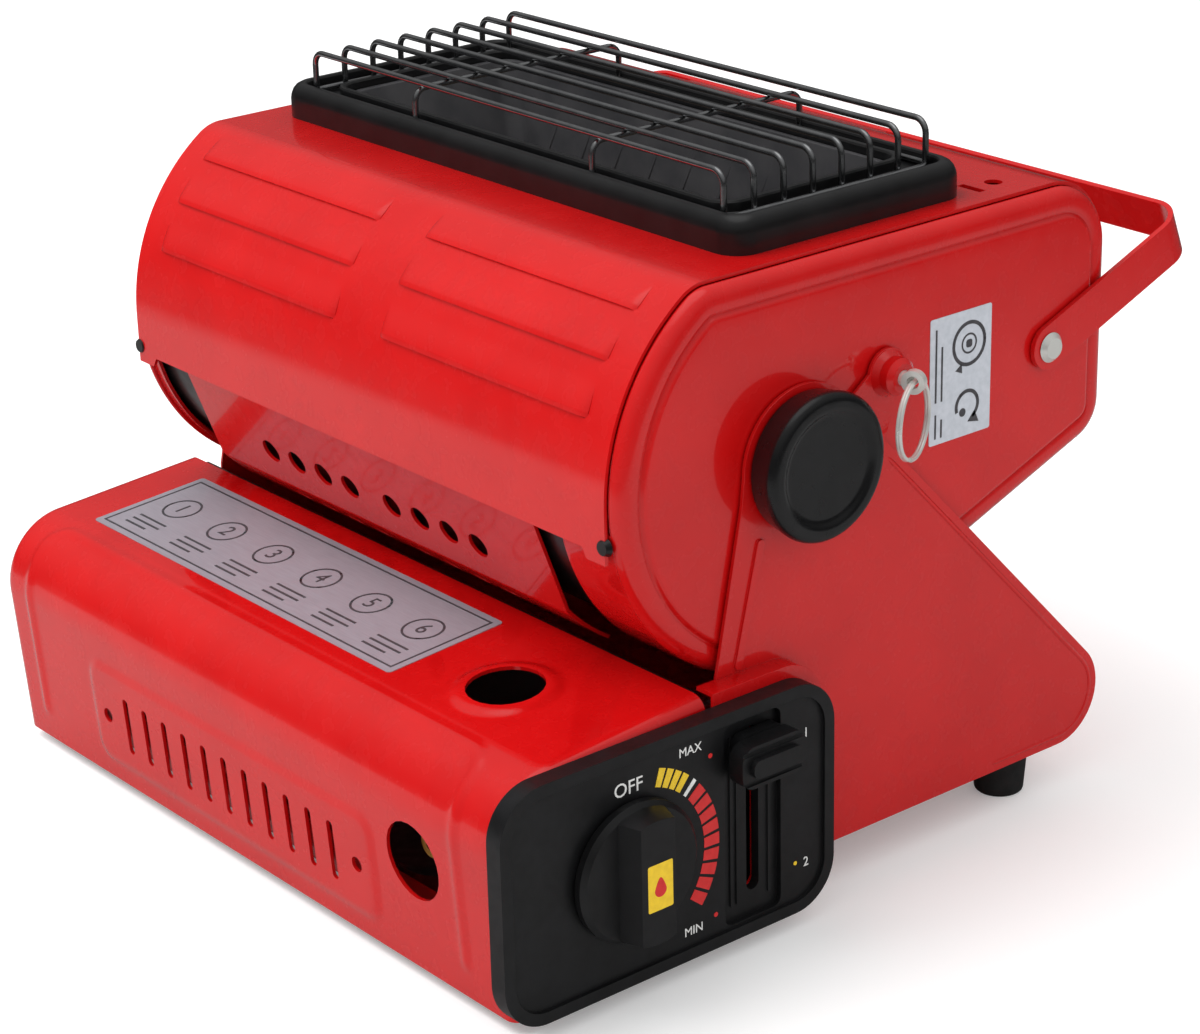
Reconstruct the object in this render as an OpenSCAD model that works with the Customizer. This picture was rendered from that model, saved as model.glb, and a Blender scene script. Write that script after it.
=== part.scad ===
/* [Base] */
// Length of the cartridge lid, end to end
lid_length = 282; // [274:1:292]
// Depth of the lid's top from front to rear
lid_depth = 81; // [79:0.5:83]
// Height of the lid's front wall
lid_height = 77.4; // [76:0.2:80]
// Lean of the lid, forward at the front and up at the rear (degrees)
lid_slope = 4.3; // [3:0.1:5]
// Radius of the lid's end edges
lid_edge = 5; // [3:0.5:6]
// Width of the flange round the lid's open ends
lid_flange = 8; // [7:0.5:9]
// Radius of the lid's upper front edge
lid_radius = 24; // [16:1:30]
// Height of the lid's lower edge above the floor
lid_lift = 4; // [3:0.5:6]
// Distance from the tilt axis forward to the lid's front face
lid_reach = 121; // [119:1:126]
// Thickness of the sheet steel
sheet = 1.2; // [1:0.1:1.5]
// Floor height of the cartridge compartment
front_floor = 9; // [8:0.5:10]
// Floor height of the base behind the compartment
rear_floor = 16; // [14:0.5:18]
// Diameter of the rubber feet at the top
foot_d = 19; // [14:0.5:20]
// Distance of the feet from the middle
foot_x = 122; // [110:1:124]

/* [Vents in the lid] */
// Number of upright slots
vent_count = 11; // [7:2:13]
// Distance from slot to slot
vent_pitch = 11.9; // [10:0.1:12]
// Slot width
vent_w = 3.2; // [2:0.1:4]
// Slot height
vent_h = 21; // [16:1:24]
// Diameter of the hole in front of the hose inlet
inlet_hole_d = 26; // [22:1:28]
// Diameter of the hole in the lid's top
top_hole_d = 25; // [20:1:28]

/* [Tilt axis and brackets] */
// Height of the tilt axis above the lid's own height
pivot_above = 72.6; // [69:0.2:79]
// Distance of the brackets' outer faces from the middle
bracket_x = 135; // [134.6:0.2:138]
// Radius of the bracket's round top
bracket_r = 24; // [22:0.5:25]
// Diameter of the pivot studs
stud_d = 8; // [6:0.5:10]
// Diameter of the tilt knobs
tilt_knob_d = 47.5; // [40:0.5:48]
// Thickness of the tilt knobs
tilt_knob_t = 11.5; // [9:0.5:14]
// Pull pin's distance behind the tilt axis
pin_y = 35.5; // [33:0.5:38]
// Pull pin's height above the tilt axis
pin_up = 19; // [16:0.5:21]
// Diameter of the pull pin
pin_d = 5; // [4:0.2:6]
// Mean diameter of the split ring
ring_d = 24.5; // [20:0.5:28]
// Largest forward tilt of the head (degrees)
tilt_max = 90; // [60:5:90]

/* [Control panel] */
// Length of the panel, front to rear
panel_l = 131; // [126:1:134]
// Height of the panel
panel_h = 78; // [74:0.5:80]
// Height of the panel's lower edge above the floor
panel_z = 6; // [5:0.5:8]
// Rear edge of the panel behind the tilt axis
panel_rear = 0.5; // [-2:0.5:4]
// Thickness of the panel with its rim
panel_t = 6.5; // [6:0.5:9]
// Corner radius of the panel
panel_r = 16; // [10:1:20]
// Gas knob's distance in front of the tilt axis
gas_y = 81; // [74:1:88]
// Height of the gas knob's axis above the floor
gas_z = 45; // [40:1:48]
// Diameter of the gas knob
gas_knob_d = 45.5; // [38:0.5:48]
// Distance of the lock lever behind the lid's rear edge
lever_behind = 15; // [13:0.5:18]
// Rest height of the lock lever above the floor
lever_z = 67; // [62:1:68]
// Travel of the lock lever
lever_travel = 40; // [30:1:42]

/* [Head] */
// Radius of the hood about the tilt axis
drum_r = 70.4; // [68:0.2:72]
// Distance of the head's side faces from the middle
head_x = 132; // [130:0.5:132]
// Height of the head's top above the tilt axis
head_up = 60.4; // [58:0.2:63]
// Distance from the tilt axis back to the head's rear face
head_rear = 137.5; // [132:0.5:142]
// Slope of the head's underside, rising to the rear (degrees)
belly_slope = 20.4; // [16:0.2:24]
// Radius of the rear upper edge
rear_top_r = 22; // [16:1:26]
// Radius of the rear lower edge
rear_low_r = 14; // [10:1:18]
// Position of the hood's lower lip round the axis (degrees)
lip_angle = 192.5; // [188:0.5:196]
// Length of a pressed louvre
louvre_l = 101; // [90:1:104]
// Height of a pressed louvre
louvre_h = 1.6; // [1:0.1:1.8]

/* [Burner and guard] */
// Length of the burner frame
frame_l = 236.6; // [228:0.2:240]
// Depth of the burner frame
frame_w = 98.4; // [94:0.2:102]
// Height of the burner frame
frame_h = 13; // [10:0.5:16]
// Front edge of the burner frame in front of the tilt axis
frame_front = 12; // [8:0.5:14]
// Length of the burner opening
well_l = 200; // [190:1:206]
// Depth of the burner opening
well_w = 74; // [70:1:78]
// Depth of the reflector tray below the frame's top
well_depth = 36; // [30:1:40]
// Wire diameter of the guard
wire_d = 2.6; // [2:0.1:3]
// Length of the guard between its end wires
guard_l = 211.4; // [206:0.2:213]
// Depth of the guard
guard_w = 84.8; // [82:0.2:86]
// Height of the guard's top above the frame
guard_h = 12.4; // [8:0.2:16]
// Number of long wires
guard_wires = 8; // [6:1:10]

/* [Handle] */
// Handle rivets' distance behind the tilt axis
handle_y = 107.7; // [104:0.5:110]
// Handle rivets' height above the tilt axis
handle_up = 10.3; // [6:0.5:14]
// Length of the handle from its rivets to the grip
handle_l = 72; // [68:1:78]
// Width of the handle strap
strap_w = 15; // [13:0.5:18]
// Thickness of the handle strap
strap_t = 1.8; // [1.5:0.1:2.2]
// Angle of the handle above level (degrees)
handle_angle = 21.5; // [12:0.1:30]

/* [Fits] */
// Radial clearance of a shaft in its bore
running = 0.06; // [0.02:0.01:0.1]
// Gap between faces that pass each other
gap = 0.5; // [0.3:0.1:0.8]

/* [Hidden] */

$fn = 64;
steel_red = "#c8191b";
enamel_black = "#161616";
zinc = "#c9ccd0";
brass_tone = "#b8923f";

lid_front = -lid_reach;
pivot_z = lid_height + pivot_above;
lid_rear = lid_front + lid_depth * cos(lid_slope) - lid_height * sin(lid_slope);
lever_y = -lid_rear - lever_behind;
lid_top = lid_lift + lid_depth * sin(lid_slope) + lid_height * cos(lid_slope);
lid_end = lid_length / 2;
lid_pin_y = lid_front + 5;
lid_pin_z = lid_lift + 5.4;
pin_boss_r = 3.4;
lid_pin_r = 2;
panel_x = lid_end + 2 * gap;
panel_face = panel_x + panel_t;
panel_front = panel_rear - panel_l;
rim_w = 4;
rim_h = 1.2;
field_x = panel_face - rim_h;
knob_gap = gap;
gas_knob_base = field_x + knob_gap;
gas_knob_disc = 4.5;
gas_grip = 7.5;
gas_knob_end = gas_knob_base + gas_knob_disc + gas_grip;
stem_r = 3;
valve_r = 11;
pipe_r = 3;
pipe_x = 118;
pipe_z = gas_z - 15;
stem_hole_r = stem_r + 2;
lever_stem = 4;
lever_slot_w = lever_stem + 2 * gap;
lever_stem_h = 8;
lane_rib = 0.6;
lever_w = 26;
lever_h = 16;
lever_out = 8;
head_inner = head_x - sheet;
side_field = 1;
side_outer = head_x + side_field;
bracket_in = bracket_x - sheet;
stud_r = stud_d / 2;
knob_back = bracket_x + gap;
knob_face = knob_back + tilt_knob_t;
pin_r = pin_d / 2;
pin_radius = sqrt(pin_y * pin_y + pin_up * pin_up);
pin_bearing = atan2(pin_up, pin_y);
pin_travel = 2.4;
lobe_r = 8;
bush_l = 6.6;
bush_r = 6;
bush_cap = 1.2;
bush_end = bracket_x + bush_l;
eye_r = 3.8;
eye_t = 2.6;
eye_hole_r = 2;
eye_x = bush_end + 0.6 + eye_r;
ring_wire_r = 0.9;
ring_turn = 25;
shield_bearing = 200.5;
shield_low = 26.5;
shield_up = 12.6;
shield_in = drum_r - 2 * sheet - 0.1;
lip_drop = drum_r * sin(lip_angle - 181);
lip_tab = 3.2;
screw_up = 2.4;
frame_mid = frame_w / 2 - frame_front;
top_z = pivot_z + head_up;
frame_top = top_z + frame_h;
wire_r = wire_d / 2;
guard_top = frame_top + guard_h;
belly_n = [sin(belly_slope), -cos(belly_slope)];
low_y = head_rear - rear_low_r;
low_z = (low_y * sin(belly_slope) - (drum_r - rear_low_r)) / cos(belly_slope);
hood_end = head_up - rear_top_r - 4;
handle_in = side_outer + gap;
handle_out = handle_in + strap_t;
handle_bend = 12;
rivet_r = 3;
screw_x = 126;
screw_r = 1.5;
rear_edge_a = [34.3, -2.4];
rear_edge_b = [129.7, -102.4];
front_edge_a = [-37, -67];
front_edge_b = [-25, -9];
plate_corner = 18;
edge_run = (rear_edge_b - rear_edge_a) / norm(rear_edge_b - rear_edge_a);
edge_out = [-edge_run[1], edge_run[0]];
edge_off = rear_edge_a * edge_out;
corner_z = rear_floor + plate_corner - pivot_z;
inlet_x = 95.6;
inlet_z = front_floor + sheet + 35.3;
corner_y = (edge_off - plate_corner - corner_z * edge_out[1]) / edge_out[0];
plate_rear = corner_y + plate_corner;
tray_rear = corner_y + 3;
foot_front = lid_front + 26;
foot_rear = plate_rear - 32.8;

front_reach = -panel_front;
rear_reach = handle_y + handle_l * cos(handle_angle) + strap_w / 2 * sin(handle_angle);
shift_x = (knob_face - gas_knob_end) / 2;
shift_y = (front_reach - rear_reach) / 2;

// Puts the middle of the whole object over the origin
module place() translate([shift_x, shift_y, 0]) children();

// Extrudes a flat shape drawn in y and z from x0 to x1
module along_x(x0, x1) translate([x0, 0, 0]) rotate([90, 0, 90]) linear_extrude(x1 - x0) children();

// Cylinder along x between x0 and x1, centred on y and z
module rod_x(x0, x1, y, z, r) translate([x0, y, z]) rotate([0, 90, 0]) cylinder(h = x1 - x0, r = r);

// Cylinder along y between y0 and y1
module rod_y(y0, y1, x, z, r) translate([x, y0, z]) rotate([-90, 0, 0]) cylinder(h = y1 - y0, r = r);

// Rectangle with round corners
module round_rect(a0, a1, b0, b1, r) {
    translate([a0 + r, b0]) square([a1 - a0 - 2 * r, b1 - b0]);
    translate([a0, b0 + r]) square([a1 - a0, b1 - b0 - 2 * r]);
    for (a = [a0 + r, a1 - r], b = [b0 + r, b1 - r]) translate([a, b]) circle(r);
}

// Upright bar with round ends in y and z
module slot_yz(y, z0, z1, w) {
    translate([y - w / 2, z0 + w / 2]) square([w, z1 - z0 - w]);
    for (z = [z0 + w / 2, z1 - w / 2]) translate([y, z]) circle(w / 2);
}

// Side view of the head, drawn about the tilt axis and shrunk by inset
module head_profile(inset = 0) {
    r = drum_r - inset;
    low_r = rear_low_r - inset;
    top = head_up - inset;
    rear = head_rear - inset;
    intersection() {
        circle(r, $fn = 128);
        translate([-2 * drum_r, -2 * drum_r]) square([4 * drum_r, 2 * drum_r + top]);
    }
    translate([head_rear - rear_top_r, head_up - rear_top_r]) circle(rear_top_r - inset);
    translate([low_y, low_z]) circle(low_r);
    polygon([
        [0, 0], r * belly_n, [low_y, low_z] + low_r * belly_n, [rear, low_z],
        [rear, head_up - rear_top_r], [head_rear - rear_top_r, top], [0, top]
    ]);
}

// Ring sector between two bearings, wide enough to cut any sheet of the head
module sector(a0, a1, reach = 200) {
    steps = 6;
    polygon(concat([[0, 0]], [for (i = [0:steps]) let (a = a0 + (a1 - a0) * i / steps) reach * [cos(a), sin(a)]]));
}

// Side view of the space under the lid, in the lid's own leaning frame, shrunk by inset
module lid_profile(inset, below = 0, behind = 0) {
    knee = lid_height - lid_radius;
    translate([lid_radius, knee]) circle(lid_radius - inset);
    polygon([
        [inset, -below], [inset, knee], [lid_radius, knee], [lid_radius, lid_height - inset],
        [lid_depth + behind, lid_height - inset], [lid_depth + behind, -below]
    ]);
}

// Leaning frame of the lid, at its lower front edge
module lid_frame() translate([0, lid_front, lid_lift]) rotate([lid_slope, 0, 0]) children();

// Solid under the lid's skin with round end edges, shrunk by inset
module lid_block(inset, below = 0, behind = 0) {
    end = lid_end - inset;
    r = lid_edge - inset;
    intersection() {
        along_x(-end, end) lid_profile(inset, below, behind);
        translate([0, 0, -60]) linear_extrude(200) round_rect(-end, end, inset, lid_depth + 90, r);
        translate([0, 160, 0]) rotate([90, 0, 0]) linear_extrude(200) round_rect(-end, end, -90, lid_height - inset, r);
    }
}

module base_tray() color(steel_red) {
    front = lid_front + 11;
    step = lid_rear + 4;
    wall = 14;
    along_x(-bracket_in, bracket_in) {
        translate([front, front_floor]) square([step - front + sheet, sheet]);
        translate([front, front_floor]) square([sheet, wall]);
        translate([step, front_floor]) square([sheet, rear_floor - front_floor + sheet]);
        translate([step, rear_floor]) square([tray_rear - step, sheet]);
        translate([tray_rear - sheet, rear_floor]) square([sheet, wall]);
    }
}

// Side plate for x above zero: end wall of the base with the tilt bracket
module side_plate() difference() {
    union() {
        along_x(bracket_in, bracket_x) {
            translate([0, pivot_z]) {
                circle(bracket_r);
                translate([pin_y, pin_up]) circle(lobe_r);
                translate([corner_y, corner_z]) circle(plate_corner);
                polygon([
                    [0, 0], [pin_y - 4, pin_up + 4], [pin_y + 5, pin_up - 5], rear_edge_a,
                    [corner_y, corner_z] + plate_corner * edge_out, [corner_y, corner_z],
                    [corner_y, corner_z - plate_corner], [front_edge_a[0], rear_floor - pivot_z],
                    front_edge_a, front_edge_b, [-bracket_r, 0]
                ]);
            }
            translate([lid_pin_y, lid_pin_z]) circle(pin_boss_r);
            translate([lid_pin_y, lid_pin_z - pin_boss_r]) square([-lid_pin_y, 60]);
        }
        translate([0, 0, pivot_z]) along_x(bracket_x, bracket_x + 0.8) side_bead([-18, -22.5], [-27.3, -59.6], 3);
    }
    rod_x(bracket_in - 1, bracket_x + 1, 0, pivot_z, stud_r + running);
}

// Raised seat behind the control panel, open towards the middle
module panel_seat() {
    front = lid_rear + 2.5;
    rear = panel_rear + 1;
    low = panel_z + 8;
    top = panel_z + panel_h + 4;
    along_x(bracket_x - sheet / 2, panel_x) intersection() {
        difference() {
            round_rect(front - 40, rear, low, top, panel_r);
            round_rect(front - 40 + sheet, rear - sheet, low + sheet, top - sheet, panel_r - sheet);
        }
        translate([front, 0]) square([100, 200]);
    }
    along_x(panel_x - sheet, panel_x) intersection() {
        round_rect(front - 40, rear, low, top, panel_r);
        translate([front, 0]) square([100, 200]);
    }
}

// Pressed bead between two points, drawn in y and z
module side_bead(a, b, w) {
    d = b - a;
    translate(a) rotate(atan2(d[1], d[0])) {
        translate([0, -w / 2]) square([norm(d), w]);
        circle(w / 2, $fn = 24);
        translate([norm(d), 0]) circle(w / 2, $fn = 24);
    }
}

module side_plate_right() color(steel_red) difference() {
    union() {
        side_plate();
        panel_seat();
    }
    rod_x(bracket_in - 1, bracket_x + 1, -gas_y, gas_z, stem_hole_r);
    along_x(bracket_in - 1, panel_x + 1) slot_yz(-lever_y, lever_z - lever_travel - 8, lever_z + 8, lever_slot_w + 1);
    rod_x(bracket_in - 1, bracket_x + 1, pin_y, pivot_z + pin_up, pin_r + running);
}

module side_plate_left() color(steel_red) mirror([1, 0, 0]) side_plate();

module rear_panel() color(steel_red) {
    d = (rear_edge_b - rear_edge_a) / norm(rear_edge_b - rear_edge_a);
    n = [d[1], -d[0]];
    inner = rear_edge_a + d * 66 + n * 2;
    low = rear_edge_b + n * 2;
    foot = [tray_rear + sheet + 0.2, rear_floor + sheet - pivot_z];
    knee = [plate_rear - 2, low[1] - 9];
    half = bracket_in - gap / 2;
    translate([0, 0, pivot_z]) along_x(-half, half)
        polygon([inner, low, knee, foot, foot + [-sheet, 0], knee + [-sheet, 0.4], low + n * sheet, inner + n * sheet]);
}

// Point of the perforated plate: distance from the tilt axis square to the plate, and distance down along it
function on_shield(d, along) = d * [cos(shield_bearing), sin(shield_bearing)] + along * [-sin(shield_bearing), cos(shield_bearing)];

// Perforated plate tucked behind the hood's lip: flat above, its lower edge rolled round the tilt axis
module front_shield() color(steel_red) {
    holes = 4;
    hole_r = 4.4;
    hole_pitch = 15.3;
    first = 11.6;
    mid = -7.8;
    left = -103;
    right = 88;
    row = 13.8;
    low_row = 229;
    steps = 8;
    out = shield_in + sheet;
    roll_r = norm([out, shield_low]);
    start = shield_bearing + atan2(shield_low, out);
    turn = (238 - start) / steps;
    translate([0, 0, pivot_z]) difference() {
        along_x(left, right) polygon(concat(
            [on_shield(out, -shield_up), on_shield(out, shield_low)],
            [for (i = [1:steps]) roll_r * [cos(start + i * turn), sin(start + i * turn)]],
            [for (i = [steps:-1:1]) (roll_r - sheet) * [cos(start + i * turn), sin(start + i * turn)]],
            [on_shield(shield_in, shield_low - 0.3), on_shield(shield_in, -shield_up)]
        ));
        for (s = [-1, 1], i = [0:holes - 1]) {
            rotate([shield_bearing, 0, 0]) rod_y(shield_in - 1, shield_in + 3, mid + s * (first + i * hole_pitch), row, hole_r);
            rotate([low_row, 0, 0]) rod_y(roll_r - 4, roll_r + 2, mid + s * (first + i * hole_pitch), 0, hole_r);
        }
    }
}

module heat_shield() color(enamel_black) {
    wall = lid_rear + 2;
    half = bracket_in - gap / 2;
    top = lid_top - 1.5;
    difference() {
        along_x(-half, half) translate([wall, front_floor + sheet]) square([sheet, top - front_floor - sheet]);
        rod_y(wall - 1, wall + sheet + 1, pipe_x, pipe_z, pipe_r + 0.4);
    }
}

module cartridge_cradle() color(zinc) {
    bed_r = 36;
    axis_z = front_floor + sheet + 4 + 34.5;
    axis_y = (lid_front + lid_rear) / 2;
    for (x = [-92, 60]) intersection() {
        difference() {
            translate([x, axis_y - 24, front_floor + sheet]) cube([8, 48, 16]);
            rod_x(x - 1, x + 9, axis_y, axis_z, bed_r - 1);
        }
        translate([x, axis_y - 40, front_floor]) cube([8, 80, 40]);
    }
    translate([-92, axis_y - 10, front_floor + sheet]) cube([160, 20, 1.5]);
}

module regulator() color(zinc) {
    axis_y = (lid_front + lid_rear) / 2;
    axis_z = front_floor + sheet + 38.5;
    difference() {
        union() {
            rod_x(88, 110, axis_y, axis_z, 21);
            rod_x(84, 88, axis_y, axis_z, 14);
            rod_x(92, 106, axis_y, axis_z, 23);
            translate([90, axis_y - 10, front_floor + sheet]) cube([18, 20, 20]);
        }
        rod_x(83, 90, axis_y, axis_z, 7);
        rod_y(lid_front, axis_y - 16, inlet_x, inlet_z, 4);
    }
}

module hose_inlet() color(brass_tone) {
    seat = (lid_front + lid_rear) / 2 - 17.2;
    tip = lid_front + sheet + 3;
    difference() {
        union() {
            rod_y(seat - 7, seat, inlet_x, inlet_z, 3.9);
            translate([inlet_x, seat - 6, inlet_z]) rotate([90, 0, 0]) cylinder(h = 5, r = 7, $fn = 6);
            rod_y(tip, seat - 10, inlet_x, inlet_z, 4.4);
            for (i = [0:1]) translate([inlet_x, tip + 1 + 2.4 * i, inlet_z]) rotate([-90, 0, 0]) cylinder(h = 2, r1 = 4.2, r2 = 5);
        }
        rod_y(tip - 1, seat + 1, inlet_x, inlet_z, 2.2);
    }
}

module gas_valve() color(brass_tone) difference() {
    union() {
        rod_x(112, bracket_in - 8, -gas_y, gas_z, valve_r);
        translate([112, -gas_y - 8, gas_z]) cube([12, 16, 20]);
        rod_x(110.05, 114, -gas_y, gas_z + 3, 6);
    }
    rod_x(118, bracket_in, -gas_y, gas_z, stem_r + running);
}

module gas_pipe() color(brass_tone) {
    rod_y(-gas_y + 4.5, -21, pipe_x, pipe_z, pipe_r);
    translate([pipe_x, -gas_y, pipe_z - 5]) cylinder(h = gas_z - valve_r - pipe_z + 4.95, r = 5.2);
    difference() {
        translate([pipe_x, -22, pipe_z]) rotate([-90, 0, 0]) cylinder(h = 8, r = 6, $fn = 6);
        rod_y(-18, -10, pipe_x, pipe_z, 1.8);
    }
}

module piezo_igniter() color("#d8d4c8") {
    translate([113, -gas_y + 8.05, gas_z + 8.5]) cube([14, 10, 9]);
    rod_x(110.1, 114, -gas_y + 13.5, gas_z + 13, 3);
}

module control_panel() color(enamel_black) {
    top = panel_z + panel_h;
    lane = 13;
    strip = 26;
    difference() {
        along_x(panel_x, panel_face) round_rect(panel_front, panel_rear, panel_z, top, panel_r);
        along_x(field_x, panel_face + 1)
            round_rect(panel_front + rim_w, panel_rear - rim_w, panel_z + rim_w, top - rim_w, panel_r - rim_w);
        along_x(field_x - 2, panel_face)
            round_rect(-lever_y - lane, -lever_y + lane - 3, panel_z + rim_w + 1, top - rim_w - 1, 3);
        rod_x(panel_x - 1, panel_face, -gas_y, gas_z, stem_hole_r);
        along_x(panel_x - 1, panel_face) slot_yz(-lever_y, lever_z - lever_travel - 8, lever_z + 8, lever_slot_w);
    }
    along_x(bracket_x, panel_x) difference() {
        round_rect(lid_front + 14, lid_rear - 5, 14, 66, 6);
        round_rect(lid_front + 16, lid_rear - 7, 16, 64, 4);
    }
    for (y = [-lever_y - lane + 4, -lever_y - 6.5, -lever_y + 6.5])
        along_x(field_x - 2.2, field_x - 2 + lane_rib) slot_yz(y, panel_z + 10, top - 10, 1.2);
}

module rubber_feet() color(enamel_black) {
    for (s = [-1, 1]) {
        translate([s * foot_x, foot_rear, 0]) cylinder(h = rear_floor, d1 = foot_d - 2.4, d2 = foot_d);
        translate([s * foot_x, foot_front, 0]) cylinder(h = front_floor, d1 = foot_d - 2.4, d2 = foot_d);
    }
}

module foot_screws() color(zinc)
    for (s = [-1, 1], f = [[foot_rear, rear_floor], [foot_front, front_floor]])
        translate([s * foot_x, f[0], f[1] + sheet]) cylinder(h = 2, r = 3.2);

module lid_hinge_pins() color(zinc)
    for (s = [-1, 1]) scale([s, 1, 1]) rod_x(bracket_x, lid_end, lid_pin_y, lid_pin_z, lid_pin_r);

module pin_bush() color(steel_red) difference() {
    translate([bracket_x, pin_y, pivot_z + pin_up]) rotate([0, 90, 0]) rotate_extrude()
        polygon([[0, 0], [lobe_r - 0.5, 0], [bush_r, 2], [bush_r, bush_l - 1.5], [bush_r - 1.5, bush_l], [0, bush_l]]);
    rod_x(bracket_x + 1.2, bush_end - bush_cap, pin_y, pivot_z + pin_up, bush_r - 1.4);
    rod_x(bracket_x - 1, bush_end + 1, pin_y, pivot_z + pin_up, pin_r + running);
}

module pivot_washers() color(zinc)
    for (s = [-1, 1]) scale([s, 1, 1]) difference() {
        rod_x(side_outer + 0.05, bracket_in - 0.05, 0, pivot_z, 11);
        rod_x(side_outer, bracket_in, 0, pivot_z, stud_r + running);
    }

module cartridge_lid() color(steel_red) {
    emboss = 0.8;
    vent_mid = -6.5;
    vent_z = 25.5;
    half_row = vent_pitch * (vent_count - 1) / 2;
    dot = half_row + 13;
    hole_x = 96;
    hole_z = 38.5;
    top_x = 91;
    top_y = 44.5;
    hem = 4;
    bead_x = lid_end - 20;
    bead_w = 2.6;
    bead_h = 0.6;
    bead_r = 1.5;
    bead_turn = 17;
    bead_out = lid_radius - bead_r + bead_h;
    bead_y = lid_radius - bead_out * sin(bead_turn);
    bead_z = lid_height - lid_radius + bead_out * cos(bead_turn);
    difference() {
        union() {
            lid_frame() difference() {
                lid_block(0);
                lid_block(sheet, 20, 20);
                along_x(-lid_end - 1, lid_end + 1) lid_profile(lid_flange, 20, 20);
            }
            lid_frame() along_x(-lid_end + lid_edge + 2, lid_end - lid_edge - 2)
                translate([lid_depth - sheet, lid_height - hem]) square([sheet, hem - 0.2]);
            for (s = [-1, 1]) rod_x(min(s * lid_end, s * (lid_end - sheet)), max(s * lid_end, s * (lid_end - sheet)),
                lid_pin_y, lid_pin_z, 5);
            lid_frame() difference() {
                translate([vent_mid, 0, vent_z]) rotate([90, 0, 0]) linear_extrude(emboss)
                    round_rect(-dot - 10, dot + 10, -19, 20, 7);
                translate([vent_mid, 0.1, vent_z]) rotate([90, 0, 0]) linear_extrude(emboss + 0.2)
                    round_rect(-dot - 7.5, dot + 7.5, -16.5, 17.5, 5);
            }
            lid_frame() for (s = [-1, 1]) along_x(s * bead_x - bead_w / 2, s * bead_x + bead_w / 2) intersection() {
                difference() {
                    lid_profile(-bead_h);
                    lid_profile(sheet / 2);
                }
                translate([-5, 10]) square([bead_y + bead_r * 0.6 + 5, 200]);
            }
            lid_frame() rod_x(-bead_x, bead_x, bead_y, bead_z, bead_r);
            lid_frame() translate([top_x, top_y, lid_height - 0.6])
                cylinder(h = 2, d1 = top_hole_d + 11, d2 = top_hole_d + 4);
            lid_frame() translate([hole_x, 0.6, hole_z]) rotate([90, 0, 0])
                cylinder(h = 1.6, d1 = inlet_hole_d + 8, d2 = inlet_hole_d + 3);
        }
        lid_frame() {
            for (i = [0:vent_count - 1]) translate([vent_mid - half_row + i * vent_pitch, sheet + 1, vent_z])
                rotate([90, 0, 0]) linear_extrude(sheet + 3) slot_yz(0, -vent_h / 2, vent_h / 2, vent_w);
            for (s = [-1, 1]) rod_y(-2, sheet + 1, vent_mid + s * dot, vent_z, 2.6);
            rod_y(-3, sheet + 1, hole_x, hole_z, inlet_hole_d / 2);
            translate([top_x, top_y, lid_height - 6]) cylinder(h = 12, d = top_hole_d);
        }
        for (s = [-1, 1]) rod_x(s * lid_end - 3, s * lid_end + 3, lid_pin_y, lid_pin_z, lid_pin_r + running);
    }
}

module gas_knob() color(enamel_black) {
    r = gas_knob_d / 2;
    bar = 13;
    difference() {
        union() {
            translate([gas_knob_base, -gas_y, gas_z]) rotate([0, 90, 0]) rotate_extrude($fn = 96)
                polygon([[0, 0], [r - 0.6, 0], [r, 0.6], [r, gas_knob_disc - 1.6], [r - 1.6, gas_knob_disc], [0, gas_knob_disc]]);
            intersection() {
                translate([gas_knob_base, -gas_y, gas_z - r]) linear_extrude(2 * r) polygon([
                    [0, -bar / 2 - 2.5], [gas_knob_disc, -bar / 2 - 2.5], [gas_knob_disc + gas_grip, -bar / 2],
                    [gas_knob_disc + gas_grip, bar / 2], [gas_knob_disc, bar / 2 + 2.5], [0, bar / 2 + 2.5]
                ]);
                translate([gas_knob_base, -gas_y, gas_z]) rotate([0, 90, 0])
                    cylinder(h = gas_knob_disc + gas_grip, r1 = r - 0.8, r2 = r - 2.4);
            }
        }
        rod_x(gas_knob_base - 1, gas_knob_base + 9, -gas_y, gas_z, stem_r + running / 2);
    }
}

module valve_stem() color(zinc) rod_x(119, gas_knob_base + 8.5, -gas_y, gas_z, stem_r);

module lock_lever() color(enamel_black) {
    base_x = field_x - 2 + lane_rib + gap / 2;
    difference() {
        union() {
            along_x(base_x, base_x + 3.5)
                round_rect(-lever_y - lever_w / 2 + 4, -lever_y + lever_w / 2 - 4, lever_z - lever_h / 2, lever_z + lever_h / 2, 3);
            along_x(base_x + 3.4, base_x + 3.5 + lever_out - 2)
                round_rect(-lever_y - lever_w / 2, -lever_y + lever_w / 2, lever_z - lever_h / 2 + 1, lever_z + lever_h / 2 - 1, 5);
            along_x(base_x + 5, base_x + 3.5 + lever_out)
                round_rect(-lever_y - lever_w / 2 + 3, -lever_y + lever_w / 2 - 3, lever_z - 3, lever_z + 3, 2.5);
            along_x(bracket_in - 3, base_x + 1)
                translate([-lever_y - lever_stem / 2, lever_z - lever_stem_h / 2]) square([lever_stem, lever_stem_h]);
        }
        for (z = [-5, 5]) translate([base_x + 3.5 + lever_out - 2, -lever_y - lever_w / 2, lever_z + z])
            rotate([-90, 0, 0]) cylinder(h = lever_w, r = 0.8, $fn = 24);
    }
}

module lock_slide() color(zinc)
    along_x(bracket_in - 6, bracket_in - 3)
        round_rect(-lever_y - 8, -lever_y + 8, lever_z - lever_stem_h, lever_z + 11, 3);

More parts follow.
